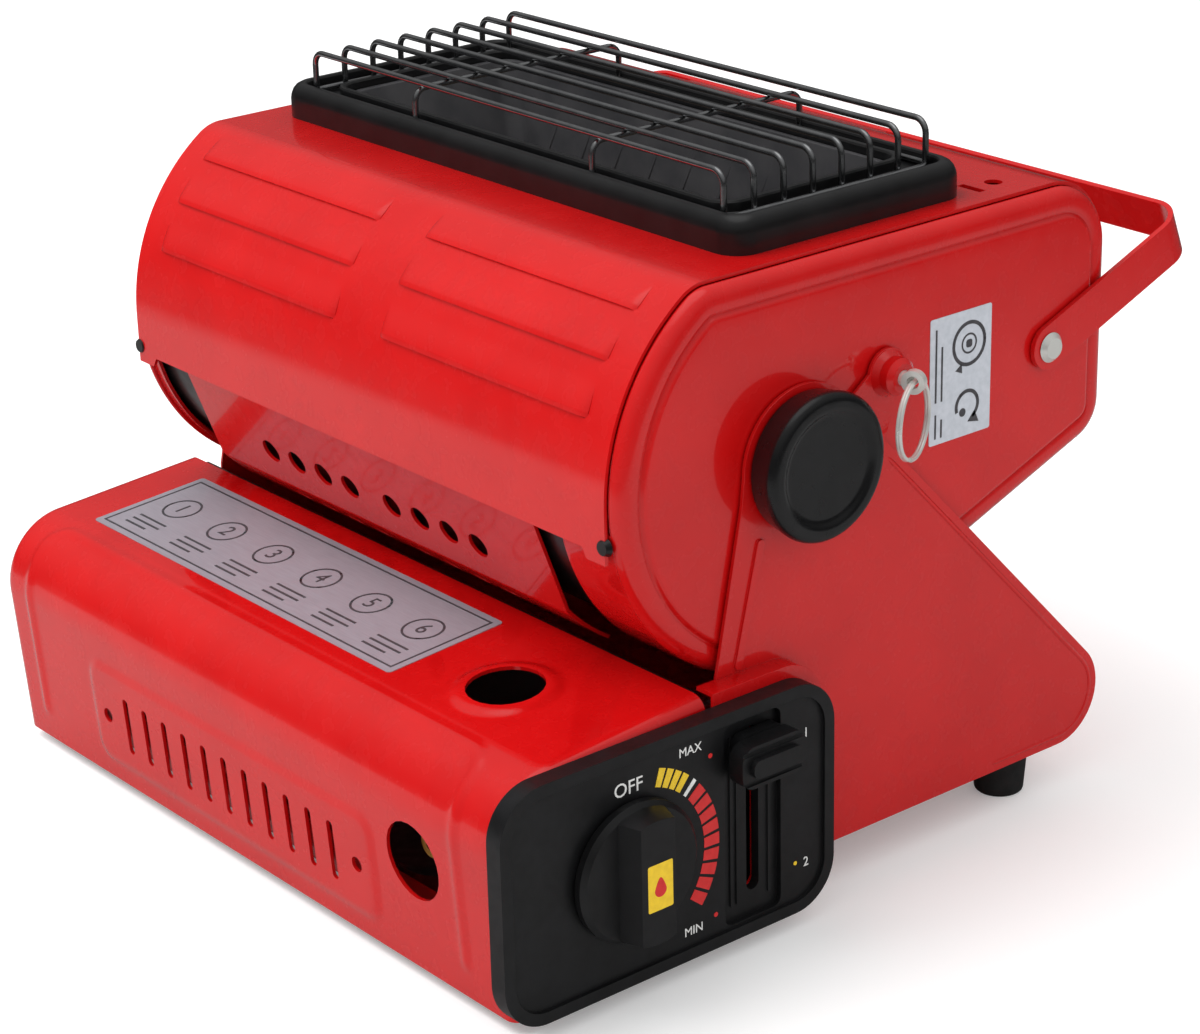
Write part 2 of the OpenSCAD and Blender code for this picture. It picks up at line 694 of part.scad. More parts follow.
module tilt_knob() {
    r = tilt_knob_d / 2;
    edge = 3;
    t = tilt_knob_t;
    difference() {
        translate([knob_back, 0, pivot_z]) rotate([0, 90, 0]) rotate_extrude($fn = 96) {
            polygon([[0, 0], [r - 1.5, 0], [r, t - edge], [r - edge, t], [r - 5, t], [r - 7, t - 1.2], [0, t - 1.8]]);
            translate([r - edge, t - edge]) circle(edge);
        }
        rod_x(knob_back - 1, knob_back + 7, 0, pivot_z, stud_r + running / 2);
    }
}

module tilt_knob_right() color(enamel_black) tilt_knob();
module tilt_knob_left() color(enamel_black) mirror([1, 0, 0]) tilt_knob();

module pivot_stud() rod_x(head_inner - 11, knob_back + 6.5, 0, pivot_z, stud_r);
module pivot_stud_right() color(zinc) pivot_stud();
module pivot_stud_left() color(zinc) mirror([1, 0, 0]) pivot_stud();

module pull_pin() color(zinc) {
    z = pivot_z + pin_up;
    collar = bracket_x + 1.2 + gap;
    difference() {
        union() {
            rod_x(head_x - 0.4, eye_x - 2, pin_y, z, pin_r);
            rod_x(collar, collar + 1, pin_y, z, bush_r - 1.4 - gap);
            translate([eye_x, pin_y, z]) rotate([0, 0, ring_turn]) rod_y(-eye_t / 2, eye_t / 2, 0, 0, eye_r);
        }
        translate([eye_x, pin_y, z]) rotate([0, 0, ring_turn]) rod_y(-eye_t, eye_t, 0, 0, eye_hole_r);
    }
}

// One helix swept with six sides from x0 to x1
module pin_spring() color(zinc) {
    turns = 3;
    sides = 6;
    rings = turns * 10;
    r = pin_r + 0.8;
    w = 0.35;
    x0 = bracket_x + 2.2 + gap + w + 0.1;
    x1 = bush_end - bush_cap - w - 0.1;
    points = [for (i = [0:rings], k = [0:sides - 1])
        let (a = 360 * turns * i / rings, b = 360 * k / sides, rr = r + w * cos(b))
            [x0 + (x1 - x0) * i / rings + w * sin(b), pin_y + rr * cos(a), pivot_z + pin_up + rr * sin(a)]];
    walls = [for (i = [0:rings - 1], k = [0:sides - 1])
        let (n = (k + 1) % sides) each [
            [i * sides + k, (i + 1) * sides + k, i * sides + n],
            [i * sides + n, (i + 1) * sides + k, (i + 1) * sides + n]]];
    first = [for (k = [1:sides - 2]) [0, k, k + 1]];
    last = [for (k = [1:sides - 2]) [rings * sides, rings * sides + k + 1, rings * sides + k]];
    polyhedron(points, concat(walls, first, last));
}

module pull_ring() color(zinc)
    translate([eye_x, pin_y, pivot_z + pin_up - ring_d / 2 - 0.2]) rotate([0, 0, ring_turn]) rotate([0, 90, 0])
        rotate_extrude($fn = 96) translate([ring_d / 2, 0]) circle(ring_wire_r, $fn = 32);

// Sheet of the head between two bearings, drawn about the tilt axis
module head_sheet(inset, a0, a1) intersection() {
    difference() {
        head_profile(inset);
        head_profile(inset + sheet);
    }
    sector(a0, a1);
}

module hood() color(steel_red) {
    rows = [131.5, 145.2, 159.2];
    louvre_mid = 63.5;
    well = frame_mid;
    end_bearing = atan2(hood_end, head_rear);
    difference() {
        union() {
            translate([0, 0, pivot_z]) along_x(-head_inner, head_inner) {
                head_sheet(0, end_bearing, 180);
                translate([-drum_r, -lip_drop]) square([sheet, lip_drop]);
            }
            for (s = [-1, 1]) scale([s, 1, 1]) translate([0, 0, pivot_z]) along_x(screw_x - 9, head_inner)
                translate([-drum_r, -lip_drop - lip_tab]) square([sheet, lip_drop]);
            for (s = [-1, 1], a = rows) translate([s * louvre_mid, 0, pivot_z]) rotate([a, 0, 0]) louvre();
        }
        translate([-well_l / 2 - 4, well - well_w / 2 - 4, top_z - 3]) cube([well_l + 8, well_w + 8, 6]);
        for (s = [-1, 1]) translate([s * 113.5, 0, top_z - 3]) {
            translate([0, 102.5, 0]) cylinder(h = 6, r = 3);
            translate([-5, 91, 0]) cube([10, 3, 6]);
        }
        for (s = [-1, 1]) scale([s, 1, 1]) hood_screw_place() rod_y(drum_r - 4, drum_r + 2, 0, 0, screw_r + 0.1);
    }
}

// One pressed louvre on the drum, open at its lower edge; local y points out of the surface
module louvre() {
    rise = 12;
    end = 3;
    difference() {
        along_x(-louvre_l / 2, louvre_l / 2)
            polygon([[drum_r - 0.8, 0], [drum_r + louvre_h, 0], [drum_r + louvre_h - 0.4, -1.5], [drum_r - 1.5, -rise]]);
        for (s = [-1, 1]) translate([s * louvre_l / 2, drum_r, 0]) rotate([0, 0, s * 50]) translate([s * 10, 0, 0])
            cube([20, 30, 40], center = true);
    }
}

// Place of the hood screw for x above zero, with y pointing out of the drum
module hood_screw_place() translate([screw_x, 0, pivot_z - lip_drop + screw_up]) rotate([180, 0, 0]) children();

// Side of the head for x above zero, with a flange behind the hood from flange_x, up to flange_end round the drum
module head_side(flange_x, flange_end) {
    field_inset = 9;
    difference() {
        union() {
            translate([0, 0, pivot_z]) along_x(head_inner, head_x) head_profile(0);
            translate([0, 0, pivot_z]) along_x(head_x, side_outer) head_profile(field_inset);
            translate([0, 0, pivot_z]) along_x(flange_x, head_inner) head_sheet(sheet + 0.05, lip_angle - 6, flange_end);
        }
        rod_x(head_inner - 1, side_outer + 1, 0, pivot_z, stud_r + running);
        rod_x(head_inner - 1, side_outer + 1, handle_y, pivot_z + handle_up, rivet_r + running);
        hood_screw_place() rod_y(drum_r - 6, drum_r + 2, 0, 0, screw_r + 0.1);
    }
}

// Slot that the pull pin runs in, with a round seat at each locked angle
module pin_track() {
    seats = 4;
    track = pin_r + gap;
    translate([0, 0, pivot_z]) along_x(head_inner - 1, side_outer + 1) {
        intersection() {
            difference() {
                circle(pin_radius + track);
                circle(pin_radius - track);
            }
            sector(pin_bearing - tilt_max, pin_bearing, 80);
        }
        for (i = [0:seats - 1]) rotate(pin_bearing - tilt_max * i / (seats - 1)) translate([pin_radius, 0]) circle(track + 0.3);
    }
}

module head_side_right() color(steel_red) difference() {
    head_side(103, 270 + belly_slope);
    pin_track();
}

module head_side_left() color(steel_red) mirror([1, 0, 0]) head_side(116, lip_angle + 3);

module rear_cover() color(steel_red) {
    end_bearing = atan2(hood_end, head_rear);
    translate([0, 0, pivot_z]) along_x(-head_inner, head_inner) head_sheet(0, belly_slope - 90, end_bearing);
}

// Black inner drum that closes the head behind the front shield
module drum_liner() color(enamel_black)
    translate([0, 0, pivot_z]) along_x(-head_inner, head_inner) head_sheet(4, lip_angle - 12, 270 + belly_slope);

module pivot_bosses() color(zinc)
    for (s = [-1, 1]) scale([s, 1, 1]) difference() {
        union() {
            rod_x(head_inner - 12, head_inner, 0, pivot_z, 8);
            rod_x(head_inner - 2, head_inner, 0, pivot_z, 16);
        }
        rod_x(head_inner - 13, head_inner + 1, 0, pivot_z, stud_r + running);
    }

module hood_screws() color(enamel_black)
    for (s = [-1, 1]) scale([s, 1, 1]) hood_screw_place() {
        rod_y(drum_r - 3, drum_r, 0, 0, screw_r);
        translate([0, drum_r, 0]) rotate([-90, 0, 0]) cylinder(h = 1.8, r1 = 3, r2 = 2.2);
    }

// Flat shape of the burner frame seen from above
module frame_shape(grow, r) round_rect(
    -frame_l / 2 - grow, frame_l / 2 + grow, frame_mid - frame_w / 2 - grow, frame_mid + frame_w / 2 + grow, r);

module well_shape(grow, r) round_rect(
    -well_l / 2 - grow, well_l / 2 + grow, frame_mid - well_w / 2 - grow, frame_mid + well_w / 2 + grow, r);

module burner_frame() color(enamel_black) difference() {
    union() {
        translate([0, 0, top_z]) linear_extrude(frame_h - 5) frame_shape(0, 9);
        translate([0, 0, top_z]) linear_extrude(frame_h - 2) frame_shape(-1.2, 8);
        translate([0, 0, top_z]) linear_extrude(frame_h) frame_shape(-3, 7);
    }
    translate([0, 0, top_z - 1]) linear_extrude(frame_h + 2) well_shape(0, 7);
    translate([0, 0, frame_top - 4]) linear_extrude(5) difference() {
        frame_shape(-5, 6);
        well_shape(2.5, 9);
    }
}

// Rectangle about the origin with round corners of few facets
module tray_shape(l, w, r) round_rect(-l / 2, l / 2, -w / 2, w / 2, r, $fn = 24);

module reflector() color("#1d1d1f") {
    rim = 1.2;
    inner_l = well_l - 2 * gap;
    inner_w = well_w - 2 * gap;
    low = frame_top - well_depth;
    shrink = 0.86;
    ribs = 9;
    translate([0, frame_mid, low]) difference() {
        linear_extrude(well_depth - 3, scale = [1 / shrink, 1 / shrink])
            tray_shape(inner_l * shrink, inner_w * shrink, 7);
        translate([0, 0, -0.01]) linear_extrude(well_depth, scale = [1 / shrink, 1 / shrink])
            tray_shape(inner_l * shrink - 2 * rim, inner_w * shrink - 2 * rim, 6);
    }
    for (s = [-1, 1], i = [0:ribs - 1])
        translate([(i - (ribs - 1) / 2) * 18, frame_mid + s * (inner_w * shrink / 2 - 0.6), low + 1])
            rotate([s * -9, 20, 0]) translate([-0.8, s * -0.5 - 0.6, 0]) cube([1.6, 1.2, well_depth - 9]);
}

module burner_box() color(zinc) {
    low = frame_top - well_depth;
    shrink = 0.86;
    l = well_l * shrink;
    w = well_w * shrink;
    difference() {
        translate([-l / 2, frame_mid - w / 2, low - 34]) cube([l, w, 26]);
        translate([-l / 2 + sheet, frame_mid - w / 2 + sheet, low - 34 + sheet]) cube([l - 2 * sheet, w - 2 * sheet, 40]);
        rod_y(frame_mid + w / 2 - 3, frame_mid + w / 2 + 3, -58, low - 22, 7.7);
    }
    difference() {
        translate([-l / 2 - 6, frame_mid - w / 2 - 4, low - 8]) cube([l + 12, w + 8, sheet]);
        translate([-l / 2 + 2, frame_mid - w / 2 + 2, low - 9]) cube([l - 4, w - 4, 4]);
    }
}

module ceramic_plaques() color("#3a3634") {
    low = frame_top - well_depth;
    shrink = 0.86;
    l = (well_l * shrink - 8) / 3;
    w = well_w * shrink - 2;
    for (i = [-1:1]) translate([i * (l + 2) - l / 2, frame_mid - w / 2, low - 8 + sheet]) cube([l, w, 6.7]);
}

module mixer_tube() color(zinc) {
    low = frame_top - well_depth - 22;
    y = frame_mid + well_w * 0.43 + 12;
    difference() {
        union() {
            rod_x(-68, 50, y, low, 8);
            translate([50, y, low]) rotate([0, 90, 0]) cylinder(h = 14, r1 = 8, r2 = 11);
            rod_y(y - 12, y, -58, low, 7.2);
        }
        rod_x(-66, 65, y, low, 6.8);
        rod_y(y - 13, y, -58, low, 6);
    }
}

module injector() color(brass_tone) {
    low = frame_top - well_depth - 22;
    y = frame_mid + well_w * 0.43 + 12;
    difference() {
        union() {
            rod_x(60, 72.5, y, low, 4);
            rod_x(60.5, 62.5, y, low, 6.75);
            translate([72, y, low]) rotate([0, 90, 0]) cylinder(h = 10, r = 7, $fn = 6);
            translate([76, y - 3, low]) cube([4, 40, 10]);
        }
        rod_x(59, 83, y, low, 1);
    }
}

module ignition_electrode() color("#e6e2d8") {
    low = frame_top - well_depth;
    x = -well_l * 0.43 - 9.5;
    translate([x, frame_mid - 12, low - 14]) cylinder(h = 18, r = 3);
    translate([x, frame_mid - 12, low + 4]) cylinder(h = 4, r = 1);
    translate([x - 5, frame_mid - 16, low - 8 + sheet]) cube([10, 8, 1.2]);
}

module thermocouple() color(brass_tone) {
    low = frame_top - well_depth;
    x = well_l * 0.43 + 9.5;
    translate([x, frame_mid - 12, low - 14]) cylinder(h = 20, r = 2.5);
    translate([x - 5, frame_mid - 16, low - 8 + sheet]) cube([10, 8, 1.2]);
}

// Wire hoop from end to end with both ends turned down; drawn along x
module hoop(half, top, low) {
    rod_x(-half - wire_r, half + wire_r, 0, top, wire_r);
    for (x = [-half, half]) translate([x, 0, low]) cylinder(h = top - low, r = wire_r - 0.1);
}

module wire_guard() color(zinc) {
    base_r = wire_r + 0.2;
    seat = frame_top - 4 + base_r + 0.05;
    half = guard_l / 2;
    pitch = guard_w / (guard_wires - 1);
    cross_x = 46;
    front = frame_mid - guard_w / 2;
    for (i = [0:guard_wires - 1]) translate([0, front + i * pitch, 0]) hoop(half, guard_top - wire_r, seat);
    for (s = [-1, 1]) translate([s * cross_x, frame_mid, 0]) rotate([0, 0, 90])
        hoop(guard_w / 2 - 1, guard_top - 2.6 * wire_r, seat);
    for (s = [-1, 1]) {
        rod_x(-half - 3, half + 3, frame_mid + s * (guard_w / 2 - 1), seat, base_r);
        rod_y(front - 0.5, front + guard_w + 0.5, s * (half + 0.6), seat + 0.5, base_r - 0.2);
    }
}

module handle_rivets() color(zinc)
    for (s = [-1, 1]) scale([s, 1, 1]) {
        rod_x(head_inner - 2, handle_out + 0.3, handle_y, pivot_z + handle_up, rivet_r);
        translate([handle_out + 0.3, handle_y, pivot_z + handle_up]) rotate([0, 90, 0]) cylinder(h = 1.6, r1 = 5, r2 = 3.4);
        rod_x(head_inner - 3.5, head_inner - 0.05, handle_y, pivot_z + handle_up, 5);
    }

module handle() color(steel_red)
    translate([0, handle_y, pivot_z + handle_up]) rotate([handle_angle, 0, 0]) difference() {
        intersection() {
            translate([0, 0, -strap_w / 2]) linear_extrude(strap_w) difference() {
                round_rect(-handle_out, handle_out, -60, handle_l, handle_bend);
                round_rect(-handle_in, handle_in, -62, handle_l - strap_t, handle_bend - strap_t);
            }
            along_x(-handle_out - 1, handle_out + 1) {
                circle(strap_w / 2);
                translate([0, -strap_w / 2]) square([handle_l + 1, strap_w]);
            }
        }
        rod_x(-handle_out - 1, handle_out + 1, 0, 0, rivet_r + running);
    }

place() base_tray();
place() side_plate_right();
place() side_plate_left();
place() rear_panel();
place() front_shield();
place() heat_shield();
place() cartridge_cradle();
place() regulator();
place() hose_inlet();
place() gas_valve();
place() gas_pipe();
place() piezo_igniter();
place() control_panel();
place() rubber_feet();
place() foot_screws();
place() lid_hinge_pins();
place() pin_bush();
place() pivot_washers();
place() cartridge_lid();
place() gas_knob();
place() valve_stem();
place() lock_lever();
place() lock_slide();
place() tilt_knob_right();
place() pivot_stud_right();
place() tilt_knob_left();
place() pivot_stud_left();
place() pull_pin();
place() pin_spring();
place() pull_ring();
place() hood();
place() head_side_right();
place() head_side_left();
place() rear_cover();
place() drum_liner();
place() pivot_bosses();
place() hood_screws();
place() burner_frame();
place() reflector();
place() burner_box();
place() ceramic_plaques();
place() mixer_tube();
place() injector();
place() ignition_electrode();
place() thermocouple();
place() wire_guard();
place() handle_rivets();
place() handle();
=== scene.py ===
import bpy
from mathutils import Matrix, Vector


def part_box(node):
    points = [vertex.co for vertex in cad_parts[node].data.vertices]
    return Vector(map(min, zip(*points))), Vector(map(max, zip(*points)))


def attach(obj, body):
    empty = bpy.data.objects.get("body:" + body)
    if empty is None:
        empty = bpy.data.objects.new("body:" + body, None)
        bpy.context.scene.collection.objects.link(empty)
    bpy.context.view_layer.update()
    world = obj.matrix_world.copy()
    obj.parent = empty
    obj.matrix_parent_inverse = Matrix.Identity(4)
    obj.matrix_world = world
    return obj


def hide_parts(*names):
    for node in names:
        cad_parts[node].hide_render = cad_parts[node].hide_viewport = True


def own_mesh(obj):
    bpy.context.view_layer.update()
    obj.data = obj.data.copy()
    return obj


bl_info = {
    "name": "Portable Gas Heater",
    "version": (1, 0, 0),
    "blender": (4, 5, 0),
    "location": "View3D > Sidebar > Heater",
    "description": "Builds the visible pieces of a portable gas heater on its packed CAD frame",
    "category": "Object",
}

from contextlib import contextmanager
import math

import bmesh
import bpy
from mathutils import Matrix, Vector

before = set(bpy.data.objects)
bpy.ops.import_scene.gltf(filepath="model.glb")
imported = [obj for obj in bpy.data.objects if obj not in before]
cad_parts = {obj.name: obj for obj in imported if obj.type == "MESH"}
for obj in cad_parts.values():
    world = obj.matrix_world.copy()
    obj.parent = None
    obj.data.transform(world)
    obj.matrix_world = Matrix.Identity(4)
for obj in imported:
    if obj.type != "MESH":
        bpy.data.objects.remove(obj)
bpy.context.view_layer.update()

MM = 0.001
SHEET = 1.2
# Head: drum, top, rear and rim of the side view, in millimetres from the tilt axis
DRUM_R = 70.4
HEAD_UP = 60.4
HEAD_REAR = 137.5
REAR_TOP_R = 22.0
REAR_LOW_R = 14.0
BROW_R = 14.0
BELLY = math.radians(20.4)
LIP = math.radians(192.5)
LIP_DROP, LIP_TAB = 14.04, 3.2
HEAD_X = 132.0
RIM_R = 5.0
SKIN_X = HEAD_X - RIM_R - 0.2
HOOD_END = 34.4
LOUVRE_BEARINGS = (131.5, 145.2, 159.2)
LOUVRE_MID, LOUVRE_HALF, LOUVRE_REACH, LOUVRE_RAMP = 63.5, 50.5, 11.0, 4.0
WELL_L, WELL_W = 200.0, 74.0
# Cartridge lid: its sizes, lean, front foot and the round hole in its top
LID_HEIGHT, LID_DEPTH, LID_END, LID_R, LID_EDGE, LID_FLANGE = 77.4, 81.0, 141.0, 24.0, 5.0, 8.0
LID_LEAN = math.radians(4.3)
LID_FOOT_Y, LID_FOOT_Z = -121.0, 4.0
TOP_HOLE_X, TOP_HOLE_Y, TOP_HOLE_R = 91.0, 44.5, 12.5
LID_KNEE, LID_BEND = LID_HEIGHT - LID_R, LID_R * math.pi / 2
# Side plate with its bead, and the small moving pieces
BRACKET_X, REAR_FLOOR, PLATE_CORNER = 135.0, 16.0, 18.0
REAR_EDGE_A, REAR_EDGE_B = (34.3, -2.4), (129.7, -102.4)
BEAD_INSET, BEAD_R = 3.4, 0.9
RING_TURN, RING_R, COIL_R = math.radians(25), 12.25, 0.72
PIN_TRAVEL, LEVER_TRAVEL = 2.4, 40.0
PANEL_X = 147.3
# Camera of the photograph: lens in millimetres, bearing, height and roll in degrees, and place in metres
LENS = 96.03
CAMERA_TURN = (50.82, 21.88, -1.421)
CAMERA_PLACE = (0.78849, -0.64101, 0.49499)
FLOOR_HALF = 6.0

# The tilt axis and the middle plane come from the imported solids
_hood_low, _hood_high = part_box("hood")
_stud_low, _stud_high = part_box("pivot_stud_right")
MID_X = (_hood_low[0] + _hood_high[0]) / 2
AXIS_Y = (_stud_low[1] + _stud_high[1]) / 2
AXIS_Z = (_stud_low[2] + _stud_high[2]) / 2
PIVOT_Z = AXIS_Z / MM


def at(x, y, z):
    """Point in metres from millimetres about the middle plane, the tilt axis and the floor."""
    return Vector((MID_X + x * MM, AXIS_Y + y * MM, z * MM))


def on_head(x, y, z):
    """Point in metres from millimetres about the tilt axis."""
    return at(x, y, z + PIVOT_Z)


# Materials


def linear(code):
    """Linear colour of an sRGB hex code."""
    values = [int(code[i:i + 2], 16) / 255 for i in (1, 3, 5)]
    return [v / 12.92 if v <= 0.04045 else ((v + 0.055) / 1.055) ** 2.4 for v in values] + [1.0]


def add(tree, kind, inputs=(), **settings):
    """Adds a shader or geometry node with its settings and fills or links its inputs."""
    node = tree.nodes.new(kind)
    for key, value in settings.items():
        setattr(node, key, value)
    for key, value in dict(inputs).items():
        if isinstance(value, bpy.types.NodeSocket):
            tree.links.new(value, node.inputs[key])
        else:
            node.inputs[key].default_value = value
    return node


def remap(tree, value, low, high, start=0.0, end=1.0):
    """Value taken from the range start to end to the range low to high."""
    inputs = {"Value": value, "From Min": start, "From Max": end, "To Min": low, "To Max": high}
    return add(tree, "ShaderNodeMapRange", inputs).outputs["Result"]


class Finish:
    """One material being built: its tree, its surface node and its object coordinates."""

    def __init__(self, name, **sockets):
        self.material = bpy.data.materials.new(name)
        self.material.use_nodes = True
        self.tree = self.material.node_tree
        self.surface = self.tree.nodes["Principled BSDF"]
        self.place = add(self.tree, "ShaderNodeTexCoord").outputs["Object"]
        for key, value in sockets.items():
            self.surface.inputs[key.replace("_", " ")].default_value = value

    def noise(self, size_mm, detail):
        """Noise whose blotches are about size_mm across."""
        inputs = {"Vector": self.place, "Scale": 1000.0 / size_mm, "Detail": detail}
        return add(self.tree, "ShaderNodeTexNoise", inputs).outputs["Fac"]

    def spread(self, fac, low, high):
        """Maps the middle of a noise to the range from low to high."""
        return remap(self.tree, fac, low, high, 0.3, 0.7)

    def tint(self, fac, dark, light):
        """Base colour that wanders from dark to light."""
        mix = add(self.tree, "ShaderNodeMix", data_type="RGBA")
        self.tree.links.new(fac, mix.inputs["Factor"])
        mix.inputs[6].default_value = linear(dark)
        mix.inputs[7].default_value = linear(light)
        self.link("Base Color", mix.outputs[2])

    def bump(self, height, depth_mm, strength):
        """Fine relief of the finish, depth_mm deep."""
        inputs = {"Height": height, "Distance": depth_mm * MM, "Strength": strength}
        self.link("Normal", add(self.tree, "ShaderNodeBump", inputs).outputs["Normal"])

    def link(self, socket, value):
        self.tree.links.new(value, self.surface.inputs[socket])


def plain_finish(name, inputs, tone, rough, grain=None):
    """Finish from one row of FINISHES."""
    f = Finish(name, **inputs)
    f.tint(f.spread(f.noise(*tone[:2]), 0, 1), *tone[2:])
    f.link("Roughness", f.spread(f.noise(*rough[:2]), *rough[2:]))
    if grain:
        f.bump(f.noise(*grain[:2]), *grain[2:])
    return f.material


GLOSS = {"Coat_Roughness": 0.03, "Coat_IOR": 1.5, "IOR": 1.5, "Specular_IOR_Level": 0.2}
RED = ((30, 2, "#be0a0c", "#c70e0f"), (6, 2, 0.22, 0.3), (2.5, 2, 0.003, 0.2))

# Each row: name, fixed inputs, then blotch size and detail with two tones, with the range of the roughness,
# and with the depth in millimetres and the strength of the grain
FINISHES = {
    # Baked gloss paint: deep red under a clear, slightly wavy gloss that turns pale where it mirrors white
    "red": ("red_gloss_paint", {"Coat_Weight": 1.0, **GLOSS}, *RED),
    # The same paint under a thinner gloss, on the perforated plate
    "plate": ("red_plate_paint", {"Coat_Weight": 0.5, **GLOSS}, *RED),
    # Stove enamel: glassy black with a slight waviness in its reflections
    "enamel": ("black_stove_enamel", {"Coat_Weight": 0.25, "Coat_Roughness": 0.15, "IOR": 1.5},
               (12, 2, "#0c0c0d", "#141415"), (5, 2, 0.3, 0.42), (2.2, 3, 0.03, 0.4)),
    # Moulded plastic: charcoal with a fine spark-eroded grain that softens the highlights
    "plastic": ("black_moulded_plastic", {"IOR": 1.48},
                (8, 2, "#0e0e0f", "#141416"), (3, 2, 0.38, 0.48), (0.5, 2, 0.03, 0.35)),
    # Polished knob plastic: near black with a clear, tight highlight
    "polish": ("black_polished_plastic", {"IOR": 1.5},
               (10, 2, "#0d0d0e", "#131314"), (4, 2, 0.2, 0.28), (3, 2, 0.01, 0.2)),
    # Chromium plate on wire, with faint drawing marks
    "chrome": ("chromed_wire", {"Metallic": 1.0},
               (6, 2, "#97989a", "#a9aaab"), (1.5, 2, 0.16, 0.24), (0.4, 2, 0.005, 0.3)),
    # Zinc-plated steel: pale grey metal with a soft spangle
    "zinc": ("zinc_plated_steel", {"Metallic": 1.0},
             (4, 3, "#a9acb0", "#c4c7ca"), (2, 2, 0.28, 0.42), (0.8, 2, 0.01, 0.3)),
    # Nickel plate on small steel pieces: almost white, with a soft sheen
    "nickel": ("bright_nickel_plate", {"Metallic": 0.55},
               (12, 1, "#e0e1dc", "#e8e8e3"), (9, 1, 0.24, 0.28)),
    # Turned brass: warm yellow metal with a fine tool grain
    "brass": ("turned_brass", {"Metallic": 1.0},
              (3, 2, "#a8843a", "#c39c4c"), (1.2, 2, 0.25, 0.36), (0.4, 2, 0.008, 0.3)),
    # Heat-darkened steel of the reflector: dark grey with a dull shine and faint patches
    "dark_steel": ("heat_darkened_steel", {"Metallic": 0.35},
                   (15, 4, "#47474a", "#5a595b"), (4, 2, 0.3, 0.45), (1.5, 3, 0.02, 0.4)),
    # Soft rubber foot: matt black with a dusty grain
    "rubber": ("foot_rubber", {"IOR": 1.5},
               (4, 2, "#141414", "#1e1d1d"), (2, 2, 0.65, 0.8), (0.7, 2, 0.03, 0.5)),
}

# Screen-printed inks and paper: flat opaque colour with a slight unevenness, from dark to light
INKS = {
    "white_ink": ("white_ink", "#d8d8d6", "#e6e6e4"),
    "yellow_ink": ("yellow_ink", "#e2bb16", "#efc81e"),
    "red_ink": ("red_ink", "#c81a1a", "#d42222"),
    "grey_ink": ("grey_ink", "#3c3a3e", "#4a484c"),
    "paper": ("white_paper_label", "#b9bec6", "#c6cad2"),
}


def ceramic():
    # Burner plaque: dusty, matt ceramic with close rows of fine flame port holes, each painted dark in its
    # middle as painted shade inside the hole
    f = Finish("ceramic_plaque", Roughness=0.9, IOR=1.5)
    inputs = {"Vector": f.place, "Scale": 1000.0 / 2.6, "Randomness": 0.15}
    ports_and_shade = add(f.tree, "ShaderNodeTexVoronoi", inputs, feature="F1").outputs["Distance"]
    # Painted shade: the colour darkens towards the middle of each port hole
    f.tint(f.spread(ports_and_shade, 0, 1), "#171411", "#5f5248")
    f.bump(ports_and_shade, 0.4, 0.6)
    return f.material


def label_foil():
    # Brushed foil label under a clear film: pale silver with long fine strokes
    f = Finish("silver_foil_label", Metallic=0.15)
    stretch = add(f.tree, "ShaderNodeMapping", {"Vector": f.place, "Scale": (0.05, 1.0, 1.0)})
    inputs = {"Vector": stretch.outputs["Vector"], "Scale": 2500.0, "Detail": 2.0}
    strokes = add(f.tree, "ShaderNodeTexNoise", inputs).outputs["Fac"]
    f.tint(f.spread(strokes, 0, 1), "#948f98", "#a09ba4")
    f.link("Roughness", f.spread(strokes, 0.35, 0.5))
    f.bump(strokes, 0.004, 0.3)
    return f.material


class Paints:
    """The materials of this build, made once by make_paints."""


def make_paints():
    for key, row in FINISHES.items():
        setattr(Paints, key, plain_finish(*row))
    for key, (name, dark, light) in INKS.items():
        setattr(Paints, key, plain_finish(name, {"IOR": 1.5}, (2, 2, dark, light), (1, 2, 0.4, 0.55)))
    Paints.ceramic = ceramic()
    Paints.foil = label_foil()


# Meshes


def new_object(name, mesh, material=None):
    obj = bpy.data.objects.new(name, mesh)
    bpy.context.scene.collection.objects.link(obj)
    if material:
        mesh.materials.clear()
        mesh.materials.append(material)
    return obj


def bake_modifiers(obj):
    """Turns an object and its modifiers into one plain mesh."""
    deps = bpy.context.evaluated_depsgraph_get()
    mesh = bpy.data.meshes.new_from_object(obj.evaluated_get(deps))
    old = obj.data
    obj.modifiers.clear()
    obj.data = mesh
    mesh.name = obj.name
    if isinstance(old, bpy.types.Mesh):
        bpy.data.meshes.remove(old)
    return obj


def shade(mesh, degrees=32):
    """Smooth shading, with edges sharper than this many degrees kept crisp."""
    for face in mesh.polygons:
        face.use_smooth = True
    mesh.set_sharp_from_angle(angle=math.radians(degrees))


def piece(obj, body, slot, *nodes, sharp=32):
    """Shades a finished piece, ties it to its body, and lets it stand for CAD nodes; its slot is not used."""
    shade(obj.data, sharp)
    flat = obj.modifiers.new("flat", "WEIGHTED_NORMAL")
    flat.keep_sharp = True
    flat.weight = 80
    bake_modifiers(obj)
    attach(obj, body)
    if nodes:
        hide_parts(*nodes)
    return obj


@contextmanager
def edited(mesh):
    """Opens a mesh for editing and writes it back."""
    bm = bmesh.new()
    bm.from_mesh(mesh)
    yield bm
    bm.to_mesh(mesh)
    bm.free()


def node_copy(node, name, material):
    """Copy of a CAD node with its doubles merged and its flat faces joined."""
    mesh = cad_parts[node].data.copy()
    mesh.name = name
    with edited(mesh) as bm:
        bmesh.ops.remove_doubles(bm, verts=bm.verts, dist=0.002 * MM)
        bmesh.ops.dissolve_limit(bm, angle_limit=math.radians(1.0), verts=bm.verts, edges=bm.edges)
        bmesh.ops.recalc_face_normals(bm, faces=bm.faces)
    return new_object(name, mesh, material)


